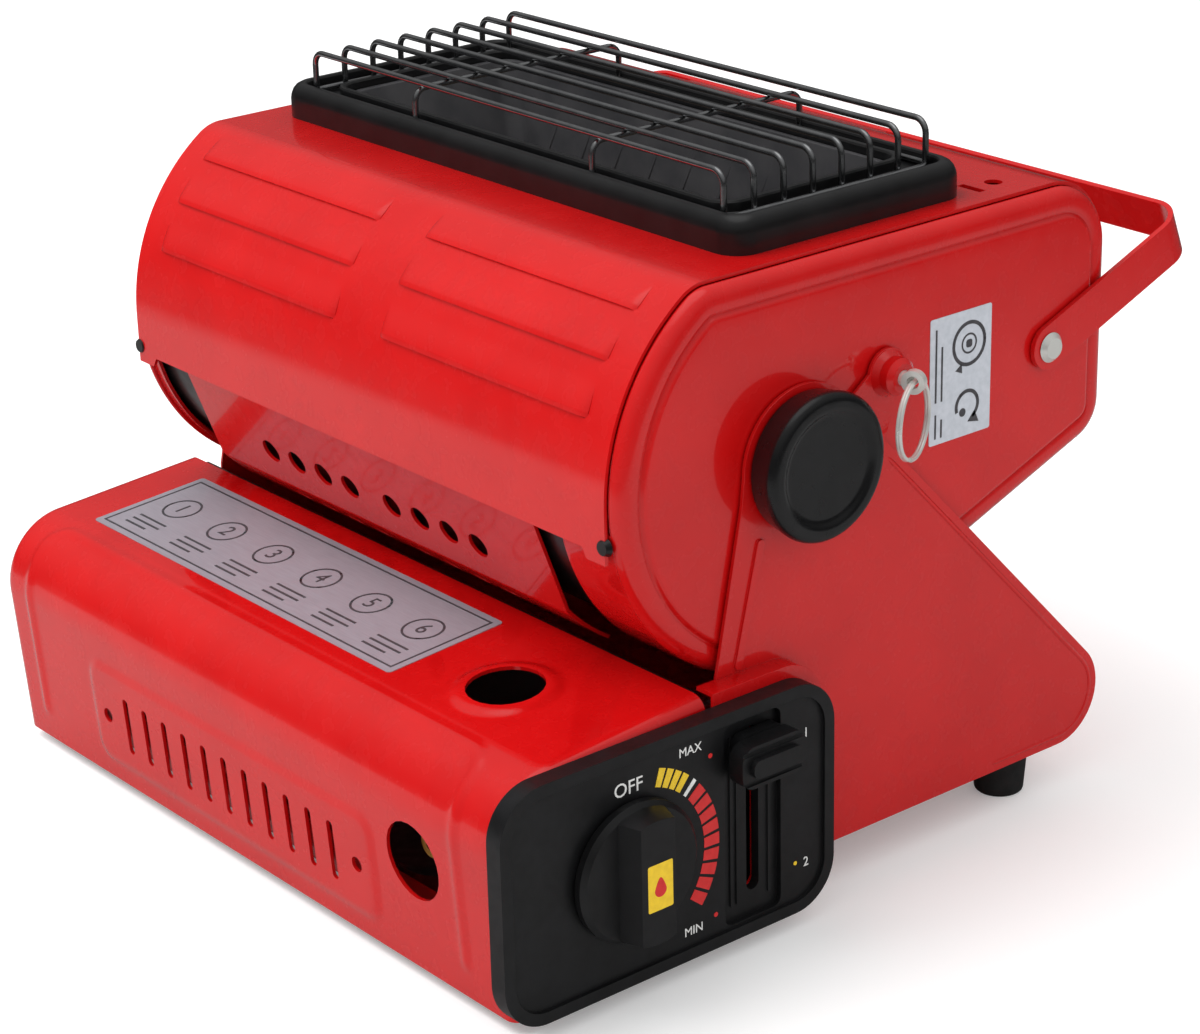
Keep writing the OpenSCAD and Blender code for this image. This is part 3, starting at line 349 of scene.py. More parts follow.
def rounded(node, name, material, radius, segments=2, angle=28, where=None):
    """Copy of a CAD node with its sharp edges, or only those that where picks, rounded in millimetres."""
    obj = node_copy(node, name, material)
    bevel = obj.modifiers.new("round", "BEVEL")
    bevel.width = radius * MM
    bevel.segments = segments
    bevel.limit_method = "ANGLE"
    bevel.angle_limit = math.radians(angle)
    bevel.use_clamp_overlap = True
    if where:
        with edited(obj.data) as bm:
            weight = bm.edges.layers.float.new("bevel_weight_edge")
            for edge in bm.edges:
                sharp = len(edge.link_faces) == 2 and edge.calc_face_angle() > math.radians(angle)
                edge[weight] = float(sharp and where(edge.verts[0].co, edge.verts[1].co))
        bevel.limit_method = "WEIGHT"
    return bake_modifiers(obj)


def dress(node, name, material, body, slot, radius, segments=2, **picks):
    """Rounded copy of a CAD node that stands in its place."""
    return piece(rounded(node, name, material, radius, segments, **picks), body, slot, node)


def sweep_grid(name, rows, material, close=False):
    """Mesh from rows of points, one quad between neighbours."""
    bm = bmesh.new()
    grid = [[bm.verts.new(p) for p in row] for row in rows]
    last = len(grid) if close else len(grid) - 1
    for i in range(last):
        a, b = grid[i], grid[(i + 1) % len(grid)]
        for j in range(len(a) - 1):
            bm.faces.new((a[j], a[j + 1], b[j + 1], b[j]))
    bmesh.ops.remove_doubles(bm, verts=bm.verts, dist=0.004 * MM)
    mesh = bpy.data.meshes.new(name)
    bm.to_mesh(mesh)
    bm.free()
    return new_object(name, mesh, material)


def thicken(obj, thickness, round_edge=0.0):
    """Gives a sheet its thickness to the inside, with its cut edge rounded if asked."""
    shell = obj.modifiers.new("sheet", "SOLIDIFY")
    shell.thickness = thickness * MM
    shell.offset = -1
    if round_edge:
        edge = obj.modifiers.new("edge", "BEVEL")
        edge.width = round_edge * MM
        edge.segments = 2
        edge.limit_method = "ANGLE"
        edge.angle_limit = math.radians(50)
    return bake_modifiers(obj)


def arc(cy, cz, r, a0, a1, steps):
    """Points and outward normals of an arc in y and z, in millimetres."""
    angles = [a0 + (a1 - a0) * i / steps for i in range(steps + 1)]
    return [(cy + r * math.cos(a), cz + r * math.sin(a), math.cos(a), math.sin(a)) for a in angles]


def line(p, q, steps):
    """Points strictly between two arc points, with the same normal."""
    return [tuple(p[k] + (q[k] - p[k]) * i / steps for k in range(2)) + p[2:] for i in range(1, steps)]


def round_rect(a0, b0, a1, b1, r, steps=6, first=0):
    """Points counterclockwise round a rectangle with round corners, from its lower right or a later one."""
    centres = ((a1 - r, b0 + r), (a1 - r, b1 - r), (a0 + r, b1 - r), (a0 + r, b0 + r))
    points = []
    for k in range(first, first + 4):
        a, b = centres[k % 4]
        turns = [math.radians(90 * (k - 1) + 90 * i / steps) for i in range(steps + 1)]
        points += [(a + r * math.cos(t), b + r * math.sin(t)) for t in turns]
    return points


def head_outline(inset=0.0):
    """Side view of the head from its lower lip over the top, round the rear and under the belly."""
    brow_z = HEAD_UP - BROW_R
    brow_y = -math.sqrt((DRUM_R - BROW_R) ** 2 - brow_z ** 2)
    brow_a = math.atan2(brow_z, brow_y)
    low_y = HEAD_REAR - REAR_LOW_R
    low_z = (low_y * math.sin(BELLY) - (DRUM_R - REAR_LOW_R)) / math.cos(BELLY)
    under = BELLY - math.pi / 2
    drum = arc(0, 0, DRUM_R - inset, LIP, brow_a, 48)
    brow = arc(brow_y, brow_z, BROW_R - inset, brow_a, math.pi / 2, 8)
    top = arc(HEAD_REAR - REAR_TOP_R, HEAD_UP - REAR_TOP_R, REAR_TOP_R - inset, math.pi / 2, 0, 12)
    low = arc(low_y, low_z, REAR_LOW_R - inset, 0, under, 10)
    belly = arc(0, 0, DRUM_R - inset, under, LIP - 2 * math.pi, 48)
    path = drum + brow[1:] + line(brow[-1], top[0], 12) + top + line(top[-1], low[0], 6) + low
    return path + line(low[-1], belly[0], 8) + belly[:-1]


def bends(points, radius, steps=6):
    """Polyline with its inner corners turned into arcs of this radius."""
    path = [Vector(points[0])]
    for a, b, c in zip(points, points[1:], points[2:]):
        a, b, c = Vector(a), Vector(b), Vector(c)
        u, v = (a - b).normalized(), (c - b).normalized()
        half = u.angle(v) / 2
        reach = radius / math.tan(half)
        centre = b + (u + v).normalized() * radius / math.sin(half)
        start = (b + u * reach - centre).normalized()
        end = (b + v * reach - centre).normalized()
        path += [centre + start.slerp(end, i / steps) * radius for i in range(steps + 1)]
    return path + [Vector(points[-1])]


def tube(bm, path, radius, sides=12, closed=False):
    """Adds a round wire along a path, all in metres."""
    count = len(path)
    rings = []
    side = None
    for i, p in enumerate(path):
        a = path[(i - 1) % count] if closed or i else p
        b = path[(i + 1) % count] if closed or i < count - 1 else p
        along = (b - a).normalized()
        if side is None:
            side = along.orthogonal().normalized()
        side = (side - along * side.dot(along)).normalized()
        other = along.cross(side)
        turns = [2 * math.pi * k / sides for k in range(sides)]
        spots = [p + radius * (math.cos(t) * side + math.sin(t) * other) for t in turns]
        rings.append([bm.verts.new(spot) for spot in spots])
    for i in range(count if closed else count - 1):
        a, b = rings[i], rings[(i + 1) % count]
        for k in range(sides):
            n = (k + 1) % sides
            bm.faces.new((a[k], a[n], b[n], b[k]))
    if not closed:
        bm.faces.new(list(reversed(rings[0])))
        bm.faces.new(rings[-1])


def mesh_object(name, bm, material):
    """Object from a finished bmesh."""
    bmesh.ops.recalc_face_normals(bm, faces=bm.faces)
    mesh = bpy.data.meshes.new(name)
    bm.to_mesh(mesh)
    bm.free()
    return new_object(name, mesh, material)


def repeat(name, unit, count, step, turn, origin, material):
    """Repeats a unit mesh along step and about its own origin by turn, with Geometry Nodes."""
    tree = bpy.data.node_groups.new(name, "GeometryNodeTree")
    tree.interface.new_socket("Geometry", in_out="OUTPUT", socket_type="NodeSocketGeometry")
    wanted = {
        "Unit": ("NodeSocketObject", unit),
        "Count": ("NodeSocketInt", count),
        "Step": ("NodeSocketVector", step),
        "Turn": ("NodeSocketVector", turn),
        "Material": ("NodeSocketMaterial", material),
    }
    sockets = {}
    for label, (kind, value) in wanted.items():
        sockets[tree.interface.new_socket(label, in_out="INPUT", socket_type=kind).identifier] = value
    enter = add(tree, "NodeGroupInput").outputs
    row = add(tree, "GeometryNodeMeshLine", {"Count": enter["Count"], "Offset": enter["Step"]}, mode="OFFSET")
    index = add(tree, "GeometryNodeInputIndex").outputs["Index"]
    spin = add(tree, "ShaderNodeVectorMath", {0: enter["Turn"], "Scale": index}, operation="SCALE")
    source = add(tree, "GeometryNodeObjectInfo", {"Object": enter["Unit"]})
    inputs = {"Points": row.outputs["Mesh"], "Instance": source.outputs["Geometry"],
              "Rotation": spin.outputs["Vector"]}
    copies = add(tree, "GeometryNodeInstanceOnPoints", inputs)
    whole = add(tree, "GeometryNodeRealizeInstances", {"Geometry": copies.outputs["Instances"]})
    inputs = {"Geometry": whole.outputs["Geometry"], "Material": enter["Material"]}
    painted = add(tree, "GeometryNodeSetMaterial", inputs)
    add(tree, "NodeGroupOutput", {"Geometry": painted.outputs["Geometry"]})
    obj = new_object(name, bpy.data.meshes.new(name))
    modifier = obj.modifiers.new("repeat", "NODES")
    modifier.node_group = tree
    for key, value in sockets.items():
        modifier[key] = value
    obj.update_tag()
    bpy.context.view_layer.update()
    bake_modifiers(obj)
    obj.data.transform(Matrix.Translation(origin))
    bpy.data.objects.remove(unit)
    return obj


class Print:
    """Flat marks on a surface: origin, right and up directions, drawn in millimetres."""

    def __init__(self, origin, right, up, thick=0.12):
        self.origin = Vector(origin)
        self.right = Vector(right).normalized()
        self.up = Vector(up).normalized()
        self.out = self.right.cross(self.up)
        self.thick = thick
        self.bm = bmesh.new()

    def point(self, a, b, h):
        return self.origin + (self.right * a + self.up * b + self.out * h) * MM

    def area(self, outline, low=-0.05, high=None):
        """Slab over a convex outline of (right, up) points, drawn counterclockwise."""
        high = self.thick if high is None else high
        base = [self.bm.verts.new(self.point(a, b, low)) for a, b in outline]
        top = [self.bm.verts.new(self.point(a, b, high)) for a, b in outline]
        self.bm.faces.new(top)
        self.bm.faces.new(list(reversed(base)))
        for i in range(len(outline)):
            n = (i + 1) % len(outline)
            self.bm.faces.new((base[i], base[n], top[n], top[i]))

    def bar(self, a0, b0, a1, b1, low=-0.05, high=None):
        self.area([(a0, b0), (a1, b0), (a1, b1), (a0, b1)], low, high)

    def plate(self, a0, b0, a1, b1, r, low=-0.05, high=None):
        """Rectangle with round corners."""
        self.area(round_rect(a0, b0, a1, b1, r), low, high)

    def disc(self, a, b, r, low, high):
        self.plate(a - r, b - r, a + r, b + r, r - 0.001, low, high)

    def ring(self, a, b, r0, r1, start=0, end=360, steps=36):
        """Flat ring or part of one."""
        angles = [math.radians(start + (end - start) * i / steps) for i in range(steps + 1)]
        for s, t in zip(angles, angles[1:]):
            corners = ((r0, s), (r1, s), (r1, t), (r0, t))
            self.area([(a + r * math.cos(u), b + r * math.sin(u)) for r, u in corners])

    def frame(self, a0, b0, a1, b1, w):
        self.bar(a0, b0, a1, b0 + w)
        self.bar(a0, b1 - w, a1, b1)
        self.bar(a0, b0 + w, a0 + w, b1 - w)
        self.bar(a1 - w, b0 + w, a1, b1 - w)

    def word(self, text, a, b, size):
        """Word centred on a point, size in millimetres from line to line."""
        curve = bpy.data.curves.new("word", "FONT")
        curve.body = text
        curve.size = size
        curve.align_x, curve.align_y = "CENTER", "CENTER"
        curve.extrude = self.thick / 2
        curve.resolution_u = 3
        holder = bpy.data.objects.new("word", curve)
        bpy.context.scene.collection.objects.link(holder)
        bpy.context.view_layer.update()
        deps = bpy.context.evaluated_depsgraph_get()
        mesh = bpy.data.meshes.new_from_object(holder.evaluated_get(deps))
        for v in mesh.vertices:
            v.co = self.point(a + v.co.x, b + v.co.y, v.co.z + self.thick / 2)
        self.bm.from_mesh(mesh)
        bpy.data.objects.remove(holder)
        bpy.data.curves.remove(curve)
        bpy.data.meshes.remove(mesh)

    def done(self, name, body, material):
        """The marks so far as one piece."""
        bmesh.ops.remove_doubles(self.bm, verts=self.bm.verts, dist=0.001 * MM)
        obj = mesh_object(name, self.bm, material)
        self.bm = bmesh.new()
        return piece(obj, body, None)


# Pieces


def louvre_height(x, above, rise):
    """Height of a pressed louvre over the drum, x from its middle and above from its lower edge."""
    ramp = max(0.0, abs(x) - LOUVRE_HALF + LOUVRE_RAMP) / LOUVRE_RAMP
    across = max(0.0, 1 - ramp ** 2)
    if not 0 <= above <= LOUVRE_REACH or across <= 0:
        return 0.0
    t = above / LOUVRE_REACH
    return rise * (1 - t * t * (3 - 2 * t)) * math.sqrt(across)


def build_hood(look):
    """Hood: curved sheet with three pairs of louvres, a straight lip with corner tabs, and cut openings."""
    rise = look.louvre_rise / MM
    steps = (0, 15, 30, 46.5, 48, 49, 49.8, 50.3, LOUVRE_HALF)
    louvres = {round(s * (LOUVRE_MID + side * d), 2) for s in (-1, 1) for side in (-1, 1) for d in steps}
    others = (0, 6, 116, 116.8, 117.6, 118.4, 121, SKIN_X)
    columns = sorted(louvres | {s * x for s in (-1, 1) for x in others})
    path = head_outline()
    stop = next(i for i, p in enumerate(path) if p[0] > 130 and p[1] < HOOD_END)
    path = path[:stop] + [(HEAD_REAR, HOOD_END, 1.0, 0.0)]
    drum, rest = path[:49], path[49:]
    lowers = [math.radians(a) for a in LOUVRE_BEARINGS]
    bearings = {math.atan2(p[3], p[2]) % (2 * math.pi) for p in drum} | set(lowers) | {math.pi}
    bearings |= {a - k / DRUM_R for a in lowers for k in (0.4, 1, 2, 3, 4.5, 6, 8, 10, 11)}
    brow_a = math.atan2(drum[-1][3], drum[-1][2])
    bearings = sorted((a for a in bearings if brow_a - 1e-9 <= a <= math.pi), reverse=True)
    rows = []
    for t in (1, 0.96, 0.8, 0.6, 0.4, 0.2):
        drops = [LIP_DROP + LIP_TAB * fade(abs(x), 116, 118.4) for x in columns]
        rows.append([on_head(x, -DRUM_R, -drop * t) for x, drop in zip(columns, drops)])
    for a in bearings:
        n = (math.cos(a), math.sin(a))
        lifts = []
        for x in columns:
            lift = 0.0
            for low in lowers:
                lift = max(lift, louvre_height(abs(x) - LOUVRE_MID, (low - a) * DRUM_R + 1e-6, rise))
            lifts.append(lift)
        if a in lowers:
            rows.append([on_head(x, DRUM_R * n[0], DRUM_R * n[1]) for x in columns])
        spots = [(x, DRUM_R + lift) for x, lift in zip(columns, lifts)]
        rows.append([on_head(x, r * n[0], r * n[1]) for x, r in spots])
    rows += [[on_head(x, p[0], p[1]) for x in columns] for p in rest]
    obj = sweep_grid("hood_shell", [list(reversed(r)) for r in rows], Paints.red)
    thicken(obj, SHEET)
    holes = Print(on_head(0, 0, HEAD_UP), (1, 0, 0), (0, 1, 0))
    holes.bar(-104, -3.8, 104, 78.2, low=-4, high=3)
    for x in (-113.5, 113.5):
        holes.disc(x, 102.5, 3, -4, 3)
        holes.bar(x - 5, 91, x + 5, 94, low=-4, high=3)
    cut_out(obj, mesh_object("hood_cutter", holes.bm, None))
    return piece(obj, "head", "red_paint", "hood", sharp=40)


def build_head_side(sign, node):
    """Drawn side pan: rolled rim, groove and raised field."""
    start = HEAD_X - RIM_R
    rings = [(1.35, start - 4), (1.35, start), (0.5, start + 0.05), (0.1, start + 0.35)]
    turns = [math.pi / 2 * i / 8 for i in range(1, 9)]
    rings += [(RIM_R - RIM_R * math.cos(t), start + RIM_R * math.sin(t)) for t in turns]
    field = ((7.2, 0), (7.8, -0.45), (8.4, -0.45), (8.9, 0.4), (9.5, 0.9), (10.3, 1.0), (14, 1.0))
    rings += [(inset, HEAD_X + lift) for inset, lift in field]
    rows = []
    for inset, x in rings:
        ring = head_outline(inset)
        rows.append([on_head(sign * x, p[0], p[1]) for p in ring + ring[:1]])
    obj = sweep_grid(node + "_pan", rows, Paints.red)
    flat = MID_X + sign * (HEAD_X + 1) * MM
    with edited(obj.data) as bm:
        loop = [e for e in bm.edges if e.is_boundary and all(abs(v.co.x - flat) < 1e-6 for v in e.verts)]
        bmesh.ops.contextual_create(bm, geom=loop)
        bmesh.ops.recalc_face_normals(bm, faces=bm.faces)
        middle = max(bm.faces, key=lambda f: f.calc_area())
        if middle.normal.x * sign < 0:
            bmesh.ops.reverse_faces(bm, faces=bm.faces)
    return piece(thicken(obj, SHEET), "head", "red_paint", node, sharp=60)


def head_sheet(name, path, x0, x1, material, columns=6):
    """Sheet of the head along a side-view path, from x0 to x1."""
    xs = [x0 + (x1 - x0) * i / columns for i in range(columns + 1)]
    rows = [[on_head(x, p[0], p[1]) for x in reversed(xs)] for p in path]
    return thicken(sweep_grid(name, rows, material), SHEET)


def build_rear_cover():
    """Rear cover: sheet from under the hood's rear edge round to the end of the straight belly."""
    path = [p for p in head_outline() if not (p[1] > HOOD_END and p[2] > -0.5)]
    low = [i for i, p in enumerate(path) if p[0] > HEAD_REAR - 0.01]
    ends = [i for i, p in enumerate(path) if p[2] <= math.sin(BELLY) + 1e-6 and p[0] < 30]
    last = next(i for i in ends if i > low[-1])
    path = [(HEAD_REAR, HOOD_END - 0.4, 1.0, 0.0)] + path[low[0]:last + 1]
    obj = head_sheet("rear_cover_sheet", path, -SKIN_X, SKIN_X, Paints.red)
    return piece(obj, "head", "red_paint", "rear_cover", sharp=50)


def build_flange():
    """Inner flange of the right side pan, beside the open front of the drum."""
    path = arc(0, 0, DRUM_R - SHEET - 0.05, LIP - math.radians(6), math.radians(290.4), 40)
    rows = [[on_head(x, p[0], p[1]) for x in (103, 105, 115, 127.5)] for p in path]
    obj = thicken(sweep_grid("side_flange", rows, Paints.red), SHEET, 0.4)
    return piece(obj, "head", "red_paint", sharp=50)


def build_frame():
    """Burner frame: one enamelled casting with a round rim, a groove for the guard and an inner rim."""
    low, high = (Vector(corner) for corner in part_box("burner_frame"))
    middle = (low + high) / 2
    length, width = ((high - low) / MM)[:2]
    # Each ring: its inset from the outer edge, its corner radius and its height
    outer = ((0, 9, 0), (0, 9, 7.6), (0.2, 9, 9.2), (0.8, 8.6, 10.8), (1.8, 8, 12.1), (3, 7.4, 12.8),
             (3.9, 7, 13), (4.6, 6.6, 12.8), (5, 6.4, 12.2), (5, 6.4, 9.4), (5.4, 6.2, 9))
    inner = ((-2.9, 9.4, 9), (-2.5, 9, 9.4), (-2.5, 9, 12.2), (-2.1, 8.8, 12.8), (-1.3, 8.2, 13),
             (-0.5, 7.5, 12.8), (0, 7, 12.2), (0, 7, 0))
    foot = Vector((middle.x, middle.y, low.z))
    rows = []
    for l, w, rings in ((length / 2, width / 2, outer), (WELL_L / 2, WELL_W / 2, inner)):
        for inset, r, z in rings:
            ring = round_rect(inset - l, inset - w, l - inset, w - inset, r, 8, 1)
            row = [foot + Vector((a, b, z)) * MM for a, b in ring]
            rows.append(row + row[:1])
    obj = sweep_grid("burner_frame_enamelled", rows, Paints.enamel, close=True)
    with edited(obj.data) as bm:
        bmesh.ops.recalc_face_normals(bm, faces=bm.faces)
    piece(obj, "head", "black_enamel", "burner_frame")
    tabs = bmesh.new()
    size = Matrix.Diagonal((11 * MM, (width - 18) * MM, 0.9 * MM, 1))
    for side in (-1, 1):
        spot = Matrix.Translation(foot + Vector((side * (length / 2 - 3), 0, 0.5)) * MM)
        bmesh.ops.create_cube(tabs, size=1.0, matrix=spot @ size)
    piece(mesh_object("burner_frame_tabs", tabs, Paints.enamel), "head", "black_enamel")


def build_guard(look):
    """Chromed wire guard: long hoops, two cross hoops and the base wire in the frame's groove."""
    low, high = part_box("wire_guard")
    r = look.wire / 2
    bend = look.wire_bend
    top = high[2] - r
    seat = low[2] + 1.2 * r
    half = 105.7 * MM
    y0, y1 = low[1] + 1.2 * r, high[1] - 1.2 * r
    unit = bmesh.new()
    tube(unit, bends([(-half, 0, seat), (-half, 0, top), (half, 0, top), (half, 0, seat)], bend), r)
    wire = mesh_object("guard_wire", unit, None)
    count = look.guard_wires
    step = (0, (y1 - y0) / (count - 1), 0)
    rows = repeat("guard_long_wires", wire, count, step, (0, 0, 0), (MID_X, y0, 0), Paints.chrome)
    piece(rows, "head", "chrome_wire", "wire_guard")
    rest = bmesh.new()
    front, back, across = y0 - 1.6 * MM, y1 + 1.6 * MM, top - 2 * r
    for x in (MID_X - 46 * MM, MID_X + 46 * MM):
        points = [(x, front, seat), (x, front, across), (x, back, across), (x, back, seat)]
        tube(rest, bends(points, bend), r)
    ring = round_rect(-half - 2 * r, y0 - 0.6 * r, half + 2 * r, y1 + 0.6 * r, 5 * MM, 6, 1)
    path = [Vector((MID_X + a, b, seat)) for a, b in ring]
    tube(rest, path, r, closed=True)
    piece(mesh_object("guard_cross_wires", rest, Paints.chrome), "head", "chrome_wire")


def on_lid(x, y, z):
    """Point in the lid's leaning frame: y back from its front face, z up from its lower edge."""
    c, s = math.cos(LID_LEAN), math.sin(LID_LEAN)
    return at(x, LID_FOOT_Y + y * c - z * s, LID_FOOT_Z + y * s + z * c)


def round_box(x, y, x0, y0, x1, y1, r):
    """Signed distance from a rectangle with round corners."""
    dx, dy = max(x0 + r - x, x - x1 + r), max(y0 + r - y, y - y1 + r)
    return math.hypot(max(dx, 0.0), max(dy, 0.0)) + min(max(dx, dy), 0.0) - r


def fade(value, low, high):
    """Smooth step from 0 at low to 1 at high, which may be the smaller of the two."""
    t = min(1.0, max(0.0, (value - low) / (high - low)))
    return t * t * (3 - 2 * t)


def lid_relief(x, s):
    """Height pressed into the lid's skin, x along it and s up its front and back over its top."""
    pad = 0.8 * fade(round_box(x, s, -87.7, 7.7, 74.7, 44.2, 6.5), 1.1, -1.1)
    bead = 0.75 * fade(abs(round_box(x, s, -124.3, -60, 118.2, 84.0, 9)), 2.7, 0.3) * fade(s, 8, 13)
    hole = LID_KNEE + LID_BEND + TOP_HOLE_Y - LID_R
    collar = 1.3 * fade(math.hypot(x - TOP_HOLE_X, s - hole), 18.6, 14.2)
    return max(pad, bead, collar)


def plate_bead(sign, name):
    """Pressed bead that follows the side plate's rear edge and corner."""
    run = Vector((REAR_EDGE_B[0] - REAR_EDGE_A[0], REAR_EDGE_B[1] - REAR_EDGE_A[1])).normalized()
    out = Vector((-run.y, run.x))
    low = REAR_FLOOR + PLATE_CORNER - PIVOT_Z
    middle = Vector(((Vector(REAR_EDGE_A).dot(out) - PLATE_CORNER - low * out.y) / out.x, low))
    radius = PLATE_CORNER - BEAD_INSET
    first = Vector(REAR_EDGE_A) + 8 * run - BEAD_INSET * out
    start, end = math.atan2(out.y, out.x), -math.pi / 2
    turns = [start * (1 - i / 16) + end * i / 16 for i in range(17)]
    round_end = [middle + radius * Vector((math.cos(t), math.sin(t))) for t in turns]
    last = Vector((middle.x - 30, round_end[-1].y))
    path = [on_head(sign * (BRACKET_X - BEAD_R / 2), p.x, p.y) for p in [first] + round_end + [last]]
    sunk = [on_head(sign * (BRACKET_X - 1.1), p.x, p.y) for p in (first - 4 * run, last - Vector((4, 0)))]
    bm = bmesh.new()
    tube(bm, sunk[:1] + path + sunk[1:], BEAD_R * MM)
    return piece(mesh_object(name, bm, Paints.red), "base", "red_paint", sharp=50)


def pin_spring():
    """Spring of the pull pin, which is pressed together as the pin is pulled out; here a copy of the CAD coil
    with a mesh of its own.
    """
    obj = node_copy("pin_spring", "spring_coil", Paints.zinc)
    piece(obj, "pull_pin", "zinc_steel", "pin_spring", sharp=50)
    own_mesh(obj)


def split_ring():
    """Split ring of the pull pin: two close turns of wire."""
    low, high = (Vector(corner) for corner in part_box("pull_ring"))
    middle = (low + high) / 2
    axis = Vector((math.cos(RING_TURN), math.sin(RING_TURN), 0))
    across = Vector((-axis.y, axis.x, 0))
    path = []
    for i in range(129):
        t = math.radians(200) + 4 * math.pi * i / 128
        aside = COIL_R * (i / 64 - 1)
        spoke = math.sin(t) * across + math.cos(t) * Vector((0, 0, 1))
        path.append(middle + MM * (aside * axis + RING_R * spoke))
    bm = bmesh.new()
    tube(bm, path, COIL_R * MM, 10)
    obj = mesh_object("ring_coil", bm, Paints.nickel)
    return piece(obj, "pull_ring", "zinc_steel", "pull_ring", sharp=50)


def build_lid(look):
    """Cartridge lid: one pressed sheet with soft edges, beads, a vent pad and cut openings."""
    depth = look.lid_step / MM
    reach = LID_KNEE + LID_BEND + LID_DEPTH - LID_R
    inner = LID_END - LID_EDGE
    # Each column: its place along the lid and how far it lies below the skin
    turns = [math.radians(15 * i) for i in range(7)]
    rim = [(inner + LID_EDGE * math.sin(t), LID_EDGE * (1 - math.cos(t))) for t in turns]
    rim.append((LID_END, LID_FLANGE))
    count = round(2 * inner / depth)
    columns = [(-x, d) for x, d in reversed(rim)]
    columns += [(-inner + 2 * inner * i / count, 0.0) for i in range(1, count)] + rim
    rows = []
    steps = round(reach / depth)
    for i in range(steps + 1):
        s = reach * i / steps
        t = min(1.0, max(0.0, (s - LID_KNEE) / LID_BEND)) * math.pi / 2
        y = LID_R * (1 - math.cos(t)) + max(0.0, s - LID_KNEE - LID_BEND)
        z = min(s, LID_KNEE) + LID_R * math.sin(t)
        row = []
        for x, inset in columns:
            out = lid_relief(x, s) - inset
            row.append(on_lid(x, y - math.cos(t) * out, z + math.sin(t) * out))
        rows.append(row)
    obj = sweep_grid("lid_pressed", rows, Paints.red)
    thicken(obj, SHEET)
    holes = Print(on_lid(0, 0, 0), (1, 0, 0), on_lid(0, 0, 1) - on_lid(0, 0, 0))
    for i in range(11):
        x = -6.5 + 11.9 * (i - 5)
        holes.plate(x - 1.6, 15, x + 1.6, 36, 1.599, low=-4, high=4)
    for x, z, r in ((-79, 25.5, 2.6), (66, 25.5, 2.6), (96, 38.5, 13)):
        holes.disc(x, z, r, -4, 4)
    top = Print(on_lid(0, 0, LID_HEIGHT), (1, 0, 0), on_lid(0, 1, 0) - on_lid(0, 0, 0))
    top.disc(TOP_HOLE_X, TOP_HOLE_Y, TOP_HOLE_R, -6, 6)
    for cutter in (holes, top):
        cut_out(obj, mesh_object("lid_cutter", cutter.bm, None))
    return piece(obj, "cartridge_lid", "red_paint", "cartridge_lid")


def cut_out(obj, cutter):
    """Cuts a closed mesh out of a piece."""
    cut = obj.modifiers.new("cut", "BOOLEAN")
    cut.operation = "DIFFERENCE"
    cut.solver = "EXACT"
    cut.object = cutter
    bake_modifiers(obj)
    bpy.data.objects.remove(cutter)


def label_lid():
    """Silver foil label on the lid's top with a dark border, plain numbers and plain lines."""
    up = on_lid(0, 1, 0) - on_lid(0, 0, 0)
    top = on_lid(0, 0, LID_HEIGHT)
    marks = Print(top, (1, 0, 0), up, 0.2)
    marks.plate(-118.3, 26.6, 55.1, 72.1, 1.5)
    marks.done("lid_label", "cartridge_lid", Paints.foil)
    marks = Print(top, (1, 0, 0), up, 0.3)
    marks.frame(-115.8, 29.1, 52.6, 69.6, 0.7)
    for i in range(6):
        a = -101 + 28 * i
        marks.ring(a, 52, 6.4, 7.2)
        marks.word(str(i + 1), a, 52, 9)
        for k in range(3):
            marks.bar(a - 8, 33.5 + 3 * k, a + 8 - 4 * (k == 0), 34.4 + 3 * k)
    marks.done("lid_label_print", "cartridge_lid", Paints.grey_ink)


def label_side():
    """Pale label on the right side pan with two plain turning signs."""
    origin = on_head(HEAD_X + 1, 0, 0)
    marks = Print(origin, (0, 1, 0), (0, 0, 1), 0.2)
    marks.plate(55.3, -11.0, 82.4, 30.7, 0.8)
    marks.done("side_label", "head", Paints.paper)
    marks = Print(origin, (0, 1, 0), (0, 0, 1), 0.3)
    marks.ring(72.5, 19.5, 6.3, 7.5)
    marks.ring(72.5, 19.5, 2.8, 3.4)
    marks.plate(71.2, 18.2, 73.8, 20.8, 0.8)
    marks.area([(66.5, 11.5), (69.5, 10.2), (69.3, 13.4)])
    marks.ring(72.0, -1.0, 4.2, 5.4, -60, 200)
    marks.area([(72.4, -6.6), (77.4, -7.6), (75.4, -3.4)])
    marks.ring(70.0, -3.0, 0.0, 1.4)
    for k in range(2):
        marks.bar(57.6 + 2.6 * k, 3, 58.3 + 2.6 * k, 27 - 6 * k)
        marks.bar(57.6 + 2.6 * k, -9, 58.3 + 2.6 * k, -1 - 2 * k)
    marks.done("side_label_print", "head", Paints.grey_ink)


def slot_lining():
    """Painted shade: a black sheet round the lever's slot on the side plate, standing for the shade behind
    the panel, so that less red shows through the panel.
    """
    low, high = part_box("lock_lever")
    x = MID_X + (BRACKET_X + 0.02) * MM
    y, z = (low[1] + high[1]) / 2, (low[2] + high[2]) / 2

    def loop(half, end, depth=0.0):
        foot = -LEVER_TRAVEL - end
        corners = ((-half, foot), (half, foot), (half, end), (-half, end), (-half, foot))
        return [Vector((x - depth * MM, y + a * MM, z + b * MM)) for a, b in corners]

    rows = [loop(12, 12), loop(2.7, 5), loop(2.7, 5, SHEET + 0.3)]
    # Black plastic finish as painted shade over the red plate behind the panel
    shade_sheet = sweep_grid("slot_lining", rows, Paints.plastic)
    return piece(thicken(shade_sheet, 0.15), "base", "black_plastic")


